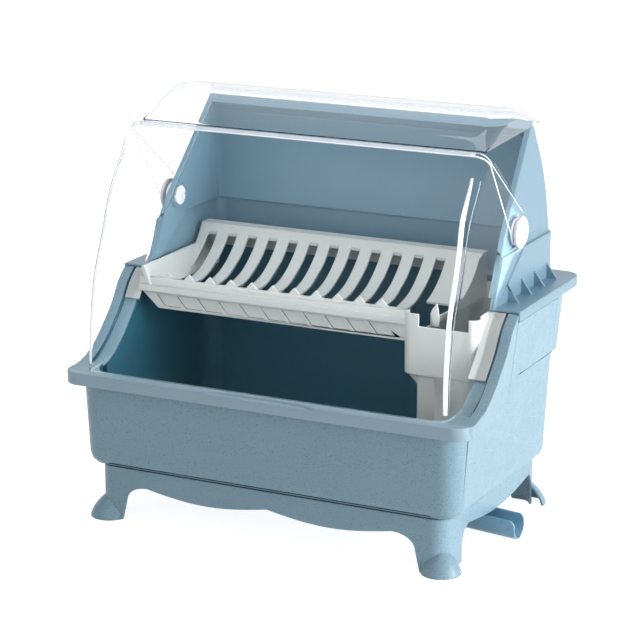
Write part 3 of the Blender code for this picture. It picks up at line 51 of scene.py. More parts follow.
view = bpy.data.cameras.new("view")
view.lens = CAMERA_LENS
view.sensor_width = CAMERA_SENSOR
camera = bpy.data.objects.new("camera", view)
bpy.context.scene.collection.objects.link(camera)
camera.location = CAMERA_PLACE
aim = Vector(CAMERA_TARGET) - Vector(CAMERA_PLACE)
camera.rotation_euler = aim.to_track_quat('-Z', 'Y').to_euler()
bpy.context.scene.camera = camera
bpy.context.scene.view_settings.view_transform = 'Standard'


# Studio. A white table runs out of sight under a white sky. One wide soft lamp stands on the
# right, a weaker one in front, and one hangs above.
TABLE_REACH = 6.0
TABLE_WHITE = (0.86, 0.87, 0.88, 1)
TABLE_ROUGHNESS = 0.9
TABLE_GLOSS = 0.1
TABLE_GLOW = 0.86
SKY_GREY = (0.86, 0.90, 0.95, 1.0)
SKY_STRENGTH = 0.36
SEEN_WHITE = (1.0, 1.0, 1.0, 1.0)
LAMPS = (("right_lamp", (2.2, 0.05, 0.45), (0.0, 0.0, 0.12), 1.2, 54.0),
         ("front_lamp", (0.2, -2.4, 1.2), (0.0, 0.0, 0.2), 1.6, 5.0),
         ("top_lamp", (0.1, -0.2, 2.3), (0.0, 0.0, 0.2), 1.2, 10.0))


def nodes_of(name):
    """A new material, its tree, its Principled shader and its output."""
    material = bpy.data.materials.new(name)
    material.use_nodes = True
    tree = material.node_tree
    return material, tree, tree.nodes["Principled BSDF"], tree.nodes["Material Output"]


def seen_share(tree):
    """1 on rays from the camera, from gloss or through clear plastic, and 0 on rays that light."""
    path = tree.nodes.new("ShaderNodeLightPath")
    gloss = tree.nodes.new("ShaderNodeMath")
    gloss.operation = 'MAXIMUM'
    through = tree.nodes.new("ShaderNodeMath")
    through.operation = 'MAXIMUM'
    tree.links.new(path.outputs["Is Camera Ray"], gloss.inputs[0])
    tree.links.new(path.outputs["Is Glossy Ray"], gloss.inputs[1])
    tree.links.new(gloss.outputs[0], through.inputs[0])
    tree.links.new(path.outputs["Is Transmission Ray"], through.inputs[1])
    return through.outputs[0]


sky = bpy.data.worlds.new("sky")
bpy.context.scene.world = sky
sky.use_nodes = True
sky_tree = sky.node_tree
lit = sky_tree.nodes["Background"]
lit.inputs["Color"].default_value = SKY_GREY
lit.inputs["Strength"].default_value = SKY_STRENGTH
white = sky_tree.nodes.new("ShaderNodeBackground")
white.inputs["Color"].default_value = SEEN_WHITE
sky_mix = sky_tree.nodes.new("ShaderNodeMixShader")
sky_tree.links.new(seen_share(sky_tree), sky_mix.inputs[0])
sky_tree.links.new(lit.outputs[0], sky_mix.inputs[1])
sky_tree.links.new(white.outputs[0], sky_mix.inputs[2])
sky_tree.links.new(sky_mix.outputs[0], sky_tree.nodes["World Output"].inputs["Surface"])

for lamp_name, place, target, side, power in LAMPS:
    lamp = bpy.data.lights.new(lamp_name, 'AREA')
    lamp.size = side
    lamp.energy = power
    stand_in = bpy.data.objects.new(lamp_name, lamp)
    bpy.context.scene.collection.objects.link(stand_in)
    stand_in.location = place
    aim = Vector(target) - Vector(place)
    stand_in.rotation_euler = aim.to_track_quat('-Z', 'Y').to_euler()

table_mesh = bpy.data.meshes.new("table")
table_mesh.from_pydata([(-TABLE_REACH, -TABLE_REACH, 0), (TABLE_REACH, -TABLE_REACH, 0),
                        (TABLE_REACH, TABLE_REACH, 0), (-TABLE_REACH, TABLE_REACH, 0)],
                       [], [(0, 1, 2, 3)])
table = bpy.data.objects.new("table", table_mesh)
bpy.context.scene.collection.objects.link(table)
table_paint, table_tree, table_shader, table_out = nodes_of("table_white")
table_shader.inputs["Base Color"].default_value = TABLE_WHITE
table_shader.inputs["Roughness"].default_value = TABLE_ROUGHNESS
table_shader.inputs["Specular IOR Level"].default_value = TABLE_GLOSS
table_glow = table_tree.nodes.new("ShaderNodeEmission")
table_glow.inputs["Strength"].default_value = TABLE_GLOW
table_dark = table_tree.nodes.new("ShaderNodeEmission")
table_dark.inputs["Strength"].default_value = 0.0
table_seen = table_tree.nodes.new("ShaderNodeMixShader")
table_sum = table_tree.nodes.new("ShaderNodeAddShader")
table_tree.links.new(seen_share(table_tree), table_seen.inputs[0])
table_tree.links.new(table_dark.outputs[0], table_seen.inputs[1])
table_tree.links.new(table_glow.outputs[0], table_seen.inputs[2])
table_tree.links.new(table_shader.outputs[0], table_sum.inputs[0])
table_tree.links.new(table_seen.outputs[0], table_sum.inputs[1])
table_tree.links.new(table_sum.outputs[0], table_out.inputs["Surface"])
table_mesh.materials.append(table_paint)


# Stand. One moulding of plastic with fine dark and pale specks in it, with wavy aprons between
# four legs that end in half-round feet. Its edges are softly rounded as the mould left them.
SPECKLED_BLUE = (0.248, 0.390, 0.472)
SPECK_DARK = (0.062, 0.110, 0.155)
SPECK_PALE = (0.350, 0.470, 0.540)
CLOUD_PITCH = 14.0
CLOUD_SHARES = (0.93, 1.06)
GRAIN_PITCH = 900.0
GRAIN_SPAN = (0.54, 0.76)
GRAIN_SHARE = 0.50
GRAIN_DEPTH = 0.00006
GRAIN_STRENGTH = 0.5
SPECK_PITCH = 560.0
SPECK_CORE_SPAN = (0.16, 0.30)
DARK_PICK_SPAN = (0.86, 0.88)
PALE_PICK_SPAN = (0.88, 0.90)
GLOSS_PITCH = 90.0
GLOSS_ROUGHNESS = (0.34, 0.46)
NOISE_SPAN = (0.3, 0.7)
CLOUD_DETAIL = 2.0
FINE_DETAIL = 1.0
STAND_EDGE = 0.0005
SHARP_ANGLE = math.radians(33)
ROUNDING_STEPS = 2
MERGE_DISTANCE = 0.00002
THROWN_SHARE = 0.33


def softened(node, name, width):
    """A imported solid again, its corners merged, and every edge that turns more than SHARP_ANGLE
    rounded by the width. A point that ends more than THROWN_SHARE of the width off the solid, where
    edges stand closer than the width, goes back to the nearest point of the solid."""
    form = bmesh.new()
    form.from_mesh(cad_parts[node].data)
    bmesh.ops.remove_doubles(form, verts=form.verts, dist=MERGE_DISTANCE)
    sharp = bpy.data.meshes.new(name + "_sharp")
    form.to_mesh(sharp)
    sharp.shade_smooth()
    draft = bpy.data.objects.new(name + "_draft", sharp)
    bpy.context.scene.collection.objects.link(draft)
    rounding = draft.modifiers.new("rounding", 'BEVEL')
    rounding.width = width
    rounding.segments = ROUNDING_STEPS
    rounding.limit_method = 'ANGLE'
    rounding.angle_limit = SHARP_ANGLE
    rounding.use_clamp_overlap = False
    shading = draft.modifiers.new("shading", 'WEIGHTED_NORMAL')
    shading.mode = 'FACE_AREA'
    graph = bpy.context.evaluated_depsgraph_get()
    mesh = bpy.data.meshes.new_from_object(draft.evaluated_get(graph))
    bpy.data.objects.remove(draft)
    solid = BVHTree.FromBMesh(form)
    form.free()
    places = np.empty(len(mesh.vertices) * 3)
    mesh.vertices.foreach_get("co", places)
    places = places.reshape(-1, 3)
    homes = np.array([tuple(solid.find_nearest(place)[0]) for place in places])
    away = np.linalg.norm(places - homes, axis=1)
    thrown = away > width * THROWN_SHARE
    mesh.vertices.foreach_set("co", np.where(thrown[:, None], homes, places).ravel())
    mesh.name = name
    piece = bpy.data.objects.new(name, mesh)
    bpy.context.scene.collection.objects.link(piece)
    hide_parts(node)
    return piece


def tint(tree, low, high, share):
    """A colour between two, by a share from a texture."""
    mix = tree.nodes.new("ShaderNodeMix")
    mix.data_type = 'RGBA'
    for socket, colour in ((mix.inputs["A"], low), (mix.inputs["B"], high)):
        if isinstance(colour, tuple):
            socket.default_value = (*colour, 1)
        else:
            tree.links.new(colour, socket)
    tree.links.new(share, mix.inputs["Factor"])
    return mix.outputs["Result"]


def ramp(tree, value, span, reach=(0.0, 1.0)):
    """A value stretched from the span's two ends to the reach's two ends."""
    node = tree.nodes.new("ShaderNodeMapRange")
    node.inputs["From Min"].default_value = span[0]
    node.inputs["From Max"].default_value = span[1]
    node.inputs["To Min"].default_value = reach[0]
    node.inputs["To Max"].default_value = reach[1]
    tree.links.new(value, node.inputs["Value"])
    return node.outputs["Result"]


def noise(tree, pitch, detail=CLOUD_DETAIL):
    """Cloud texture on the piece's own coordinates, pitch features to the metre."""
    place = tree.nodes.new("ShaderNodeTexCoord")
    node = tree.nodes.new("ShaderNodeTexNoise")
    node.inputs["Scale"].default_value = pitch
    node.inputs["Detail"].default_value = detail
    tree.links.new(place.outputs["Object"], node.inputs["Vector"])
    return node.outputs["Fac"]


def bump(tree, shader, height, distance, strength):
    """Raises the surface by a texture, distance metres from its low to its high."""
    node = tree.nodes.new("ShaderNodeBump")
    node.inputs["Distance"].default_value = distance
    node.inputs["Strength"].default_value = strength
    tree.links.new(height, node.inputs["Height"])
    tree.links.new(node.outputs["Normal"], shader.inputs["Normal"])


def speckled_plastic(name, colour, dark, pale):
    """Plastic with grain, soft clouds, and sparse dark and pale specks of about a millimetre."""
    material, tree, shader, _ = nodes_of(name)
    low, high = (tuple(min(part * share, 1) for part in colour) for share in CLOUD_SHARES)
    clouds = tint(tree, low, high, noise(tree, CLOUD_PITCH))
    grain = ramp(tree, noise(tree, GRAIN_PITCH, FINE_DETAIL), GRAIN_SPAN, (0.0, GRAIN_SHARE))
    result = tint(tree, clouds, dark, grain)
    place = tree.nodes.new("ShaderNodeTexCoord")
    cells = tree.nodes.new("ShaderNodeTexVoronoi")
    cells.inputs["Scale"].default_value = SPECK_PITCH
    tree.links.new(place.outputs["Object"], cells.inputs["Vector"])
    core = ramp(tree, cells.outputs["Distance"], SPECK_CORE_SPAN, (1.0, 0.0))
    pick = tree.nodes.new("ShaderNodeSeparateColor")
    tree.links.new(cells.outputs["Color"], pick.inputs["Color"])
    for channel, span, speck in (("Red", DARK_PICK_SPAN, dark), ("Green", PALE_PICK_SPAN, pale)):
        chosen = ramp(tree, pick.outputs[channel], span)
        share = tree.nodes.new("ShaderNodeMath")
        share.operation = 'MULTIPLY'
        tree.links.new(core, share.inputs[0])
        tree.links.new(chosen, share.inputs[1])
        result = tint(tree, result, speck, share.outputs[0])
    tree.links.new(result, shader.inputs["Base Color"])
    gloss = ramp(tree, noise(tree, GLOSS_PITCH), NOISE_SPAN, GLOSS_ROUGHNESS)
    tree.links.new(gloss, shader.inputs["Roughness"])
    bump(tree, shader, noise(tree, GRAIN_PITCH, FINE_DETAIL), GRAIN_DEPTH, GRAIN_STRENGTH)
    return material


SPECKLED = speckled_plastic("speckled_blue_plastic", SPECKLED_BLUE, SPECK_DARK, SPECK_PALE)
stand = softened("stand", "stand_moulding", STAND_EDGE)
stand.data.materials.append(SPECKLED)
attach(stand, "base")


# Tub. The basin with its rolled front rim, raised side flares and the drain's spigot, of the same speckled
# plastic as the stand. Inside the basin that plastic is painted darker as painted shade, and the front of
# the rolled rim is painted lighter as a painted highlight.
TUB_EDGE = 0.0010
# Painted shade: the next two colours darken the same plastic on the basin's inner walls and floor, where
# shade falls inside it.
PAINTED_SHADE_BLUE = (0.022, 0.110, 0.165)
PAINTED_SHADE_SPECK = (0.012, 0.080, 0.125)
INNER_HALF_WIDTH = 0.2185
INNER_FRONT = -0.138
INNER_TOP_Z = 0.150
FLOOR_TURN = 0.5
# Painted highlight: the rim's colour is the same plastic made lighter on the front of the rolled rim,
# where light falls on it.
RIM_PAINTED_HIGHLIGHT_BLUE = (0.330, 0.460, 0.550)
RIM_REAR = -0.139
RIM_LOW_Z = 0.1438

tub = softened("tub", "tub_moulding", TUB_EDGE)
tub.data.materials.append(SPECKLED)
tub.data.materials.append(speckled_plastic("inner_painted_shade_plastic", PAINTED_SHADE_BLUE, PAINTED_SHADE_SPECK, PAINTED_SHADE_BLUE))
tub.data.materials.append(speckled_plastic("rim_painted_highlight_plastic", RIM_PAINTED_HIGHLIGHT_BLUE, SPECKLED_BLUE, SPECK_PALE))
# Faces inside the basin take the painted shade (1), faces on the rim's front the painted highlight (2).
spots = np.array([tuple(face.center) for face in tub.data.polygons])
turned = np.array([tuple(face.normal) for face in tub.data.polygons])
facing_in = (spots * turned * (1, 1, 0)).sum(1) < 0
floor_like = (turned[:, 2] > FLOOR_TURN) & (spots[:, 2] < INNER_TOP_Z)
within = (abs(spots[:, 0]) < INNER_HALF_WIDTH) & (spots[:, 1] > INNER_FRONT)
painted_light_kinds = (within & (facing_in | floor_like)).astype(int)
painted_light_kinds[(spots[:, 1] < RIM_REAR) & (spots[:, 2] > RIM_LOW_Z) & (painted_light_kinds == 0)] = 2
tub.data.polygons.foreach_set("material_index", painted_light_kinds)
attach(tub, "base")


# Drain spout. An open trough that turns on the spigot under the tub, of plain blue plastic.
SPOUT_BLUE = (0.215, 0.420, 0.560)
SPOUT_ROUGHNESS = (0.26, 0.36)
SPOUT_EDGE = 0.0006
PLAIN_CLOUD = 0.04
PLAIN_CLOUD_PITCH = 22.0
PLAIN_GLOSS_PITCH = 120.0
COAT_ROUGHNESS = 0.2
FLOW_PITCH = 700.0
FLOW_DEPTH = 0.00001
FLOW_STRENGTH = 0.2


def plain_plastic(name, colour, roughness, cloud=PLAIN_CLOUD, coat=0.0):
    """Plain moulded plastic: faint clouds in the colour, uneven gloss and a trace of flow waves."""
    material, tree, shader, _ = nodes_of(name)
    low, high = (tuple(min(part * share, 1) for part in colour) for share in (1 - cloud, 1 + cloud))
    tree.links.new(tint(tree, low, high, noise(tree, PLAIN_CLOUD_PITCH)), shader.inputs["Base Color"])
    gloss = ramp(tree, noise(tree, PLAIN_GLOSS_PITCH), NOISE_SPAN, roughness)
    tree.links.new(gloss, shader.inputs["Roughness"])
    shader.inputs["Coat Weight"].default_value = coat
    shader.inputs["Coat Roughness"].default_value = COAT_ROUGHNESS
    bump(tree, shader, noise(tree, FLOW_PITCH, FINE_DETAIL), FLOW_DEPTH, FLOW_STRENGTH)
    return material


spout = softened("drain_spout", "spout_trough", SPOUT_EDGE)
spout.data.materials.append(plain_plastic("spout_blue_plastic", SPOUT_BLUE, SPOUT_ROUGHNESS))
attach(spout, "spout")


# Bowl grid. A white perforated grid on low feet that lies loose on the tub's floor.
RACK_WHITE = (0.500, 0.530, 0.520)
RACK_ROUGHNESS = (0.38, 0.50)
RACK_CLOUD = 0.03
GRID_EDGE = 0.0005

RACK_PLASTIC = plain_plastic("rack_white_plastic", RACK_WHITE, RACK_ROUGHNESS, RACK_CLOUD)
grid = softened("bowl_grid", "grid_moulding", GRID_EDGE)
grid.data.materials.append(RACK_PLASTIC)
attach(grid, "base")


# Plate rack. White moulding with twelve slots between curved ribs, a toothed front rail with shallow blind
# windows under it, and the cutlery well at its right end. The windows' side walls are painted dark as
# painted shade in the recesses.
RACK_EDGE = 0.0007
# Painted shade: the next colour darkens the white moulding on the side walls of the blind windows, where
# shade falls in them.
WINDOW_WALL_PAINTED_SHADE = (0.170, 0.165, 0.150)
WINDOW_ROUGHNESS = (0.5, 0.6)
WINDOW_Y = (-0.0394, -0.0378)
WINDOW_Z = (0.2032, 0.2162)
WINDOW_RIGHT = 0.090
WINDOW_BACK_TURN = 0.8

rack = softened("plate_rack", "rack_moulding", RACK_EDGE)
rack.data.materials.append(RACK_PLASTIC)
rack.data.materials.append(
    plain_plastic("window_painted_shade_plastic", WINDOW_WALL_PAINTED_SHADE, WINDOW_ROUGHNESS))
spots = np.array([tuple(face.center) for face in rack.data.polygons])
turned = np.array([tuple(face.normal) for face in rack.data.polygons])
# The windows' side walls take the painted shade.
painted_shade_walls = ((spots[:, 0] < WINDOW_RIGHT) & (abs(turned[:, 1]) < WINDOW_BACK_TURN)
         & (spots[:, 1] > WINDOW_Y[0]) & (spots[:, 1] < WINDOW_Y[1])
         & (spots[:, 2] > WINDOW_Z[0]) & (spots[:, 2] < WINDOW_Z[1]))
rack.data.polygons.foreach_set("material_index", painted_shade_walls.astype(int))
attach(rack, "base")


# Hood. The opaque rear shell of smooth blue plastic, with a flanged foot, a ledge round its
# waist and small fins along the flange.
HOOD_BLUE = (0.178, 0.300, 0.385)
HOOD_ROUGHNESS = (0.32, 0.36)
HOOD_CLOUD = 0.02
HOOD_COAT = 0.10
HOOD_EDGE = 0.0009

hood = softened("hood", "hood_moulding", HOOD_EDGE)
hood.data.materials.append(
    plain_plastic("hood_blue_plastic", HOOD_BLUE, HOOD_ROUGHNESS, HOOD_CLOUD, HOOD_COAT))
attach(hood, "hood")


# Clear top cover. A thin clear cap over the gap between the hood and the door, with a crowned
# top and upright ends.
PIVOT_Y = 0.0335
PIVOT_Z = 0.3035
COVER_HALF_WIDTH = 0.188
COVER_WALL = 0.0018
COVER_CORNER = 0.016
COVER_CORNER_DEPTH = 0.012
COVER_RIM = 0.0006
COVER_FRONT_CENTRE = (0.031, 0.334)
COVER_FRONT_RADIUS = 0.0898
COVER_FRONT_ANGLES = (math.radians(137), math.radians(93))
COVER_BACK_RADIUS = 0.1203
COVER_BACK_ANGLES = (math.radians(88), math.radians(54))
COVER_FRONT_STEPS = 40
COVER_BACK_STEPS = 24
COVER_STEPS = 60
COVER_DEPTH_SHARE = 0.8
COVER_BEND = 1.42
CLEAR_TINT = (0.985, 0.99, 0.995, 1)
CLEAR_SHADOW_TINT = (0.98, 0.99, 0.99, 1)
CLEAR_ROUGHNESS = (0.015, 0.03)
CLEAR_PITCH = 40.0
SPAN_STEPS = 12
FLAT_STEPS = 24
CORNER_STEPS = 13
SIDE_STEPS = 25
RIM_WALL_SHARE = 0.3
RIM_STEPS = 2
RIM_ANGLE = math.radians(50)


def clear_plastic(name, bend):
    """Clear plastic of a refractive index, bend, that lets the lamps' light through."""
    material, tree, shader, output = nodes_of(name)
    shader.inputs["Base Color"].default_value = CLEAR_TINT
    shader.inputs["Transmission Weight"].default_value = 1.0
    shader.inputs["IOR"].default_value = bend
    gloss = ramp(tree, noise(tree, CLEAR_PITCH), NOISE_SPAN, CLEAR_ROUGHNESS)
    tree.links.new(gloss, shader.inputs["Roughness"])
    path = tree.nodes.new("ShaderNodeLightPath")
    open_way = tree.nodes.new("ShaderNodeBsdfTransparent")
    open_way.inputs["Color"].default_value = CLEAR_SHADOW_TINT
    mix = tree.nodes.new("ShaderNodeMixShader")
    tree.links.new(path.outputs["Is Shadow Ray"], mix.inputs[0])
    tree.links.new(shader.outputs[0], mix.inputs[1])
    tree.links.new(open_way.outputs[0], mix.inputs[2])
    tree.links.new(mix.outputs[0], output.inputs["Surface"])
    return material


def arc_line(centre, radius, angles, steps):
    """Points (Y, Z) round a centre, from one angle to another."""
    turn = np.linspace(angles[0], angles[1], steps)
    return np.stack([centre[0] + radius * np.cos(turn), centre[1] + radius * np.sin(turn)], 1)


def line_at(points, shares):
    """The same line of points, taken again at shares of its whole length."""
    points = np.asarray(points, float)
    steps = np.linalg.norm(np.diff(points, axis=0), axis=1)
    run = np.concatenate([[0], np.cumsum(steps)])
    return np.stack([np.interp(shares * run[-1], run, line) for line in points.T], 1)


def even_line(points, count):
    """The same line of points, taken again at even steps of its length."""
    return line_at(points, np.linspace(0, 1, count))


def curved_line(points, count):
    """A cubic through points: on each span the Catmull-Rom blend of the four nearest, then made
    even in length."""
    points = np.asarray(points, float)
    ends = np.concatenate([points[:1], points, points[-1:]])
    t = np.linspace(0, 1, SPAN_STEPS, endpoint=False)[:, None]
    spans = [(2 * b + (c - a) * t + (2 * a - 5 * b + 4 * c - d) * t ** 2
              + (3 * b - a - 3 * c + d) * t ** 3) / 2
             for a, b, c, d in zip(ends, ends[1:], ends[2:], ends[3:])]
    return even_line(np.concatenate(spans + [points[-1:]]), count)


def grid_piece(name, places, mirrored=False):
    """A surface through places[i, j]: each cell of the table of places is one face."""
    rows, columns = places.shape[:2]
    index = np.arange(rows * columns).reshape(rows, columns)
    cells = np.stack([index[:-1, :-1], index[1:, :-1], index[1:, 1:], index[:-1, 1:]], -1)
    cells = cells.reshape(-1, 4)
    if mirrored:
        cells = cells[:, ::-1]
    mesh = bpy.data.meshes.new(name)
    mesh.from_pydata(places.reshape(-1, 3), [], cells.tolist())
    mesh.shade_smooth()
    piece = bpy.data.objects.new(name, mesh)
    bpy.context.scene.collection.objects.link(piece)
    return piece


def bent_shell(name, front, rear, half_width, corner, depth, wall):
    """A sheet that runs across the whole width along a front line and turns back at both ends.
    Across, place(t, v) goes along X on the front line, round a quarter ellipse that is the
    corner's length in X and its depth across, then straight to the rear line's same t."""
    along = np.gradient(front, axis=0)
    along /= np.linalg.norm(along, axis=1)[:, None]
    inward = np.stack([along[:, 1], -along[:, 0]], 1)
    corner, depth = (np.broadcast_to(size, (len(front),))[:, None] for size in (corner, depth))
    turn = np.linspace(0, math.pi / 2, CORNER_STEPS)[None, :]
    corner_x = half_width - corner + corner * np.sin(turn)
    corner_in = depth * (1 - np.cos(turn))
    share = np.linspace(0, 1, SIDE_STEPS)[1:][None, :]
    flat_x = (half_width - corner) * np.linspace(0, 1, FLAT_STEPS)[None, :-1]
    flat = np.broadcast_to(front[:, None, :], (len(front), flat_x.shape[1], 2))
    bend = front[:, None, :] + inward[:, None, :] * corner_in[:, :, None]
    side = bend[:, -1:, :] + (rear[:, None, :] - bend[:, -1:, :]) * share[:, :, None]
    right_x = np.concatenate([flat_x, corner_x, np.full((len(front), share.shape[1]), half_width)], 1)
    right = np.concatenate([right_x[:, :, None], np.concatenate([flat, bend, side], 1)], 2)
    left = right[:, :0:-1] * np.array([-1, 1, 1])
    piece = grid_piece(name, np.concatenate([left, right], 1), True)
    thick = piece.modifiers.new("wall", 'SOLIDIFY')
    thick.thickness = wall
    thick.offset = -1
    rim = piece.modifiers.new("rim", 'BEVEL')
    rim.width = wall * RIM_WALL_SHARE
    rim.segments = RIM_STEPS
    rim.limit_method = 'ANGLE'
    rim.angle_limit = RIM_ANGLE
    return piece


crown = np.concatenate([
    arc_line(COVER_FRONT_CENTRE, COVER_FRONT_RADIUS, COVER_FRONT_ANGLES, COVER_FRONT_STEPS),
    arc_line((PIVOT_Y, PIVOT_Z), COVER_BACK_RADIUS, COVER_BACK_ANGLES, COVER_BACK_STEPS)])
crown = even_line(crown, COVER_STEPS)
chord = np.linspace(crown[0], crown[-1], len(crown)) - (0, COVER_RIM)
crown_height = np.linalg.norm(crown - chord, axis=1)
cover = bent_shell("clear_cover", crown, chord, COVER_HALF_WIDTH, COVER_CORNER,
                   np.minimum(COVER_CORNER_DEPTH, COVER_DEPTH_SHARE * crown_height), COVER_WALL)
cover.data.materials.append(clear_plastic("cover_clear_plastic", COVER_BEND))
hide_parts("top_cover")
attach(cover, "hood")


# Door. A clear bowed sheet that turns back at both ends into arms, which hang on the two
# pivots. Its top edge is a narrow lip that swings up over the cover when the door opens.
DOOR_HALF_WIDTH = 0.196
DOOR_WALL = 0.002
DOOR_CORNER_FOOT = 0.006
DOOR_CORNER_TOP = 0.012
DOOR_FOOT = (-0.139, 0.1566)
DOOR_TOP = (-0.049, 0.395)
DOOR_SHARES = ((0.0, 0.0), (0.0, 0.045), (0.022, 0.190), (0.100, 0.370), (0.188, 0.470),
               (0.310, 0.580), (0.489, 0.752), (0.733, 0.882), (0.855, 0.948), (1.0, 1.0))
DOOR_ROW_SHARES = (0.0, 0.31, 0.64, 0.72, 1.0)
DOOR_LIP_RADIUS = 0.1228
DOOR_LIP_ANGLES = (math.radians(132), math.radians(131))
DOOR_LIP_SHARE = 0.15
HUB_RADIUS = 0.021
HUB_ANGLES = (math.radians(-110), math.radians(50))
SIDE_CURVE_FOOT = (-0.125, 0.1568)
SIDE_CURVE_TOP = (-0.0225, 0.2365)
SIDE_CURVE_SHARES = ((0.0, 0.0), (0.215, 0.061), (0.410, 0.213), (0.585, 0.415),
                     (0.732, 0.610), (0.854, 0.841), (0.985, 0.998))
DOOR_REAR_HEEL = (-0.024, 0.2425)
DOOR_FRONT_STEPS = 200
DOOR_LIP_STEPS = 5
HUB_STEPS = 25
SIDE_CURVE_STEPS = 60
SIDE_ROWS = 34
HEEL_ROWS = 30
LIP_REAR_ROWS = 32
DOOR_BEND = 1.07


def from_shares(shares, low, high):
    """Points between two corners (Y, Z), from their shares of the way."""
    shares = np.asarray(shares)
    return np.asarray(low) + shares * (np.asarray(high) - np.asarray(low))


door_front = np.concatenate([
    curved_line(from_shares(DOOR_SHARES, DOOR_FOOT, DOOR_TOP), DOOR_FRONT_STEPS),
    arc_line((PIVOT_Y, PIVOT_Z), DOOR_LIP_RADIUS, DOOR_LIP_ANGLES, DOOR_LIP_STEPS)[1:]])
hub = arc_line((PIVOT_Y, PIVOT_Z), HUB_RADIUS, HUB_ANGLES, HUB_STEPS)
lip_end = door_front[-1] + (hub[-1] - door_front[-1]) * DOOR_LIP_SHARE
side_points = from_shares(SIDE_CURVE_SHARES, SIDE_CURVE_FOOT, SIDE_CURVE_TOP)
door_rear = [
    even_line(curved_line(side_points, SIDE_CURVE_STEPS), SIDE_ROWS),
    even_line([DOOR_REAR_HEEL, hub[0]], HEEL_ROWS),
    hub[1:],
    even_line([hub[-1], lip_end], LIP_REAR_ROWS)[1:]]
door_stations = np.concatenate([
    np.linspace(low, high, len(line) + 1)[1:]
    for low, high, line in zip(DOOR_ROW_SHARES, DOOR_ROW_SHARES[1:], door_rear)])
door_stations[0] = 0
door_front = line_at(door_front, door_stations)
door_rear = np.concatenate(door_rear)
door_corner = np.linspace(DOOR_CORNER_FOOT, DOOR_CORNER_TOP, len(door_front))
door = bent_shell("clear_door", door_front, door_rear, DOOR_HALF_WIDTH, door_corner, door_corner,
                  DOOR_WALL)
door.data.materials.append(clear_plastic("door_clear_plastic", DOOR_BEND))
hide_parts("door")
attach(door, "door")


# Bright and dark edges of the door. Strands and thin strips just under the door's skin, along its lip,
# down its arms and round its front corners, carry painted highlights, a painted sheen and painted shade
# where the clear plastic's edges catch or lose light.
TOP_BEAD_RADIUS = 0.0006
INNER_BEAD_RADIUS = 0.0008
BEAD_DEPTH = 0.0010
BEAD_POINTS = 11
BEAD_END_SHARE = 0.02
BEAD_UPRIGHT = (0.0, 0.67, 0.74)
BEAD_LIP_STEPS = 12
BEAD_TURN_STEPS = 9
BEAD_ARM_STEPS = 14
LIP_BAND = 0.0070
LIP_BAND_ROWS = 6
LIP_BAND_COLUMNS = 60
HUB_FRONT_ANGLE = math.radians(178)
HUB_REAR_ANGLE = math.radians(58)
BAND_REACH = 0.93
STREAK_DEPTH = 0.0004
STREAK_SHARES = (0.0, 0.1, 0.75, 0.95, 1.0)
# The bright streak is a painted highlight down each front corner, the shade streak a painted dark line
# beside it.
STREAKS = (("bright", (0.42, 0.10), (0.0042, 0.0050, 0.0052, 0.0014, 0.0008)),
           ("shade", (0.86, 0.62), (0.0005, 0.0009, 0.0012, 0.0010, 0.0005)))
STREAK_COLUMNS = 5
STREAK_ROWS = slice(2, -12)
EDGE_PITCH = 60.0
EDGE_ROUGHNESS = 0.12
EDGE_BEND = 1.2
# Painted light: the tones below are a painted highlight, a painted sheen and painted shade on the clear
# door's edges.
PAINTED_HIGHLIGHT_TONES = ((0.82, 0.86, 0.90), (0.96, 0.97, 0.98))
PAINTED_HIGHLIGHT_CLEAR_SHARE = 0.30
PAINTED_SHEEN_TONES = ((0.66, 0.71, 0.78), (0.82, 0.86, 0.92))
PAINTED_SHEEN_CLEAR_SHARE = 0.55
PAINTED_SHADE_TONES = ((0.26, 0.33, 0.40), (0.36, 0.43, 0.50))
PAINTED_SHADE_CLEAR_SHARE = 0.45


def bead(name, path, radius):
    """A round strand along a path: ring(a) = path + radius (n cos a + m sin a), where n is
    BEAD_UPRIGHT made square to the path, and m is square to both. It narrows at its ends."""
    path = np.asarray(path, float)
    ahead = np.gradient(path, axis=0)
    ahead /= np.linalg.norm(ahead, axis=1)[:, None]
    upright = np.array(BEAD_UPRIGHT)
    across = upright - (ahead @ upright)[:, None] * ahead
    across /= np.linalg.norm(across, axis=1)[:, None]
    other = np.cross(ahead, across)
    turn = np.linspace(0, 2 * math.pi, BEAD_POINTS)
    share = np.ones(len(path))
    share[[0, -1]] = BEAD_END_SHARE
    ring = across[:, None] * np.cos(turn)[:, None] + other[:, None] * np.sin(turn)[:, None]
    return grid_piece(name, path[:, None] + radius * share[:, None, None] * ring)


def round_the_door(row, inset, rear):
    """A path on the door's skin at one row of its front line: from the rear point on the left
    arm to the corner, along the lip, and back to the rear point on the right arm."""
    along = door_front[row] - door_front[row - 1]
    along /= np.linalg.norm(along)
    inward = np.array([along[1], -along[0]])
    size = door_corner[row]
    turn = np.linspace(0, math.pi / 2, BEAD_TURN_STEPS)
    half = DOOR_HALF_WIDTH - inset
    bend_x = half - size + size * np.sin(turn)
    bend = door_front[row] + inward * (inset + size * (1 - np.cos(turn)))[:, None]
    arm = bend[-1] + (rear - bend[-1]) * np.linspace(0, 1, BEAD_ARM_STEPS)[1:, None]
    lip_x = np.linspace(0, half - size, BEAD_LIP_STEPS)[:-1]
    right = np.concatenate([
        np.column_stack([lip_x, np.tile(bend[0], (len(lip_x), 1))]),
        np.column_stack([bend_x, bend]),
        np.column_stack([np.full(len(arm), half), arm])])
    return np.concatenate([right[:0:-1] * (-1, 1, 1), right])


def on_the_hub(angle):
    """A point (Y, Z) on the hub's edge."""
    return np.array([PIVOT_Y + (HUB_RADIUS - BEAD_DEPTH) * math.cos(angle),
                     PIVOT_Z + (HUB_RADIUS - BEAD_DEPTH) * math.sin(angle)])


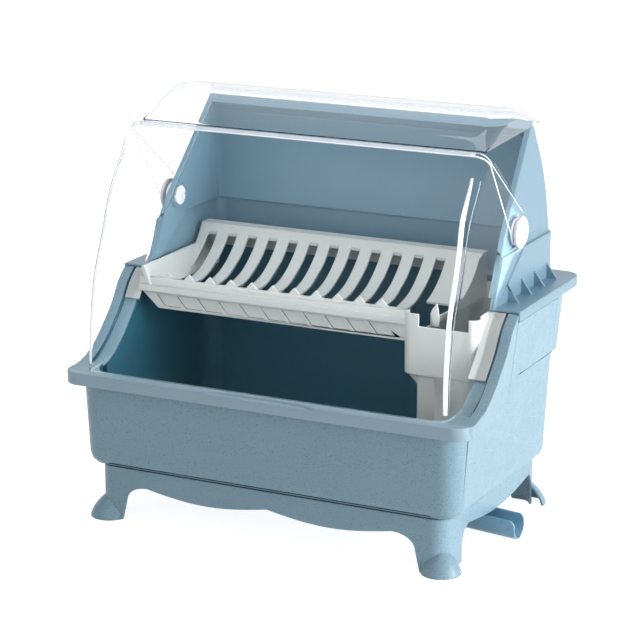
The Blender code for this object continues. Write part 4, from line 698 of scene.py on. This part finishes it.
def painted_edge_plastic(name, tones, through):
    """Painted light on the door's edges, as highlight, sheen and shade: two close tones, partly
    see-through.
    """
    material, tree, shader, _ = nodes_of(name)
    tree.links.new(tint(tree, *tones, noise(tree, EDGE_PITCH)), shader.inputs["Base Color"])
    shader.inputs["Roughness"].default_value = EDGE_ROUGHNESS
    shader.inputs["Transmission Weight"].default_value = through
    shader.inputs["IOR"].default_value = EDGE_BEND
    return material


EDGE_PAINTED_HIGHLIGHT = painted_edge_plastic("edge_painted_highlight_plastic", PAINTED_HIGHLIGHT_TONES, PAINTED_HIGHLIGHT_CLEAR_SHARE)
EDGE_PAINTED_SHEEN = painted_edge_plastic("edge_painted_sheen_plastic", PAINTED_SHEEN_TONES, PAINTED_SHEEN_CLEAR_SHARE)
EDGE_PAINTED_SHADE = painted_edge_plastic("edge_painted_shade_plastic", PAINTED_SHADE_TONES, PAINTED_SHADE_CLEAR_SHARE)
lip_run = np.cumsum(np.linalg.norm(np.diff(door_front, axis=0), axis=1))
lip_row = int(np.searchsorted(lip_run, lip_run[-1] - LIP_BAND)) + 1
# Strands along the lip and down the arms carry a painted sheen (top) and a painted highlight (inner).
for word, row, rear, radius, paint in (
        ("top", len(door_front) - 1, on_the_hub(HUB_REAR_ANGLE), TOP_BEAD_RADIUS, EDGE_PAINTED_SHEEN),
        ("inner", lip_row, on_the_hub(HUB_FRONT_ANGLE), INNER_BEAD_RADIUS, EDGE_PAINTED_HIGHLIGHT)):
    strand = bead("door_painted_light_bead_" + word, round_the_door(row, BEAD_DEPTH, rear), radius)
    strand.data.materials.append(paint)
    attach(strand, "door")


def skin_strip(name, places, mirrored):
    """A thin sheet just under the door's skin, through places[i, j]."""
    piece = grid_piece(name, places, mirrored)
    thick = piece.modifiers.new("wall", 'SOLIDIFY')
    thick.thickness = STREAK_DEPTH * 2
    thick.offset = -1
    return piece


door_along = np.gradient(door_front, axis=0)
door_along /= np.linalg.norm(door_along, axis=1)[:, None]
door_inward = np.stack([door_along[:, 1], -door_along[:, 0]], 1)
# A band along the lip carries a painted sheen.
lip_rows = even_line(door_front[lip_row:] + door_inward[lip_row:] * STREAK_DEPTH, LIP_BAND_ROWS)
band_x = np.linspace(-1, 1, LIP_BAND_COLUMNS) * (DOOR_HALF_WIDTH * BAND_REACH)
band_cells = (LIP_BAND_ROWS, LIP_BAND_COLUMNS)
lip_places = np.concatenate([np.broadcast_to(band_x[None, :, None], (*band_cells, 1)),
                             np.broadcast_to(lip_rows[:, None, :], (*band_cells, 2))], 2)
lip_sheen_band = skin_strip("door_lip_painted_sheen", lip_places, True)
lip_sheen_band.data.materials.append(EDGE_PAINTED_SHEEN)
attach(lip_sheen_band, "door")


def streak(name, side, turns, widths):
    """A strip on the door's corner: place(t, v) is on the corner's quarter circle, at a turn that
    goes from the foot's to the lip's, plus v times the width at t."""
    t = np.linspace(0, 1, len(door_front))[:, None]
    v = np.linspace(-0.5, 0.5, STREAK_COLUMNS)[None, :]
    size = door_corner[:, None]
    middle = (turns[0] + (turns[1] - turns[0]) * t) * math.pi / 2
    turn = middle + v * np.interp(t, STREAK_SHARES, widths) / size
    reach = size - STREAK_DEPTH
    across = DOOR_HALF_WIDTH - size + reach * np.sin(turn)
    deep = size - reach * np.cos(turn)
    places = np.concatenate([side * across[:, :, None],
                             door_front[:, None, :] + door_inward[:, None, :] * deep[:, :, None]], 2)
    return skin_strip(name, places[STREAK_ROWS], side > 0)


# Strips on both front corners carry a painted highlight and a painted shade line.
for word, side in (("left", -1), ("right", 1)):
    for place, turns, widths in STREAKS:
        strip = streak("door_streak_%s_%s" % (place, word), side, turns, widths)
        strip.data.materials.append(EDGE_PAINTED_HIGHLIGHT if place == "bright" else EDGE_PAINTED_SHADE)
        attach(strip, "door")


# Pivots. On each side a white knob outside the arm, a washer between arm and hood, and a slotted
# screw inside the hood that holds them together.
KNOB_WHITE = (0.80, 0.80, 0.82)
KNOB_ROUGHNESS = (0.24, 0.34)
KNOB_CLOUD = 0.02
KNOB_COAT = 0.2
PIVOT_EDGES = (("knob", 0.0007), ("washer", 0.0003), ("screw", 0.0003))

KNOB_PLASTIC = plain_plastic("knob_white_plastic", KNOB_WHITE, KNOB_ROUGHNESS, KNOB_CLOUD, KNOB_COAT)
for kind, edge in PIVOT_EDGES:
    for word in ("left", "right"):
        piece = softened("pivot_%s_%s" % (kind, word), "%s_%s" % (kind, word), edge)
        piece.data.materials.append(KNOB_PLASTIC)
        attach(piece, "hood")
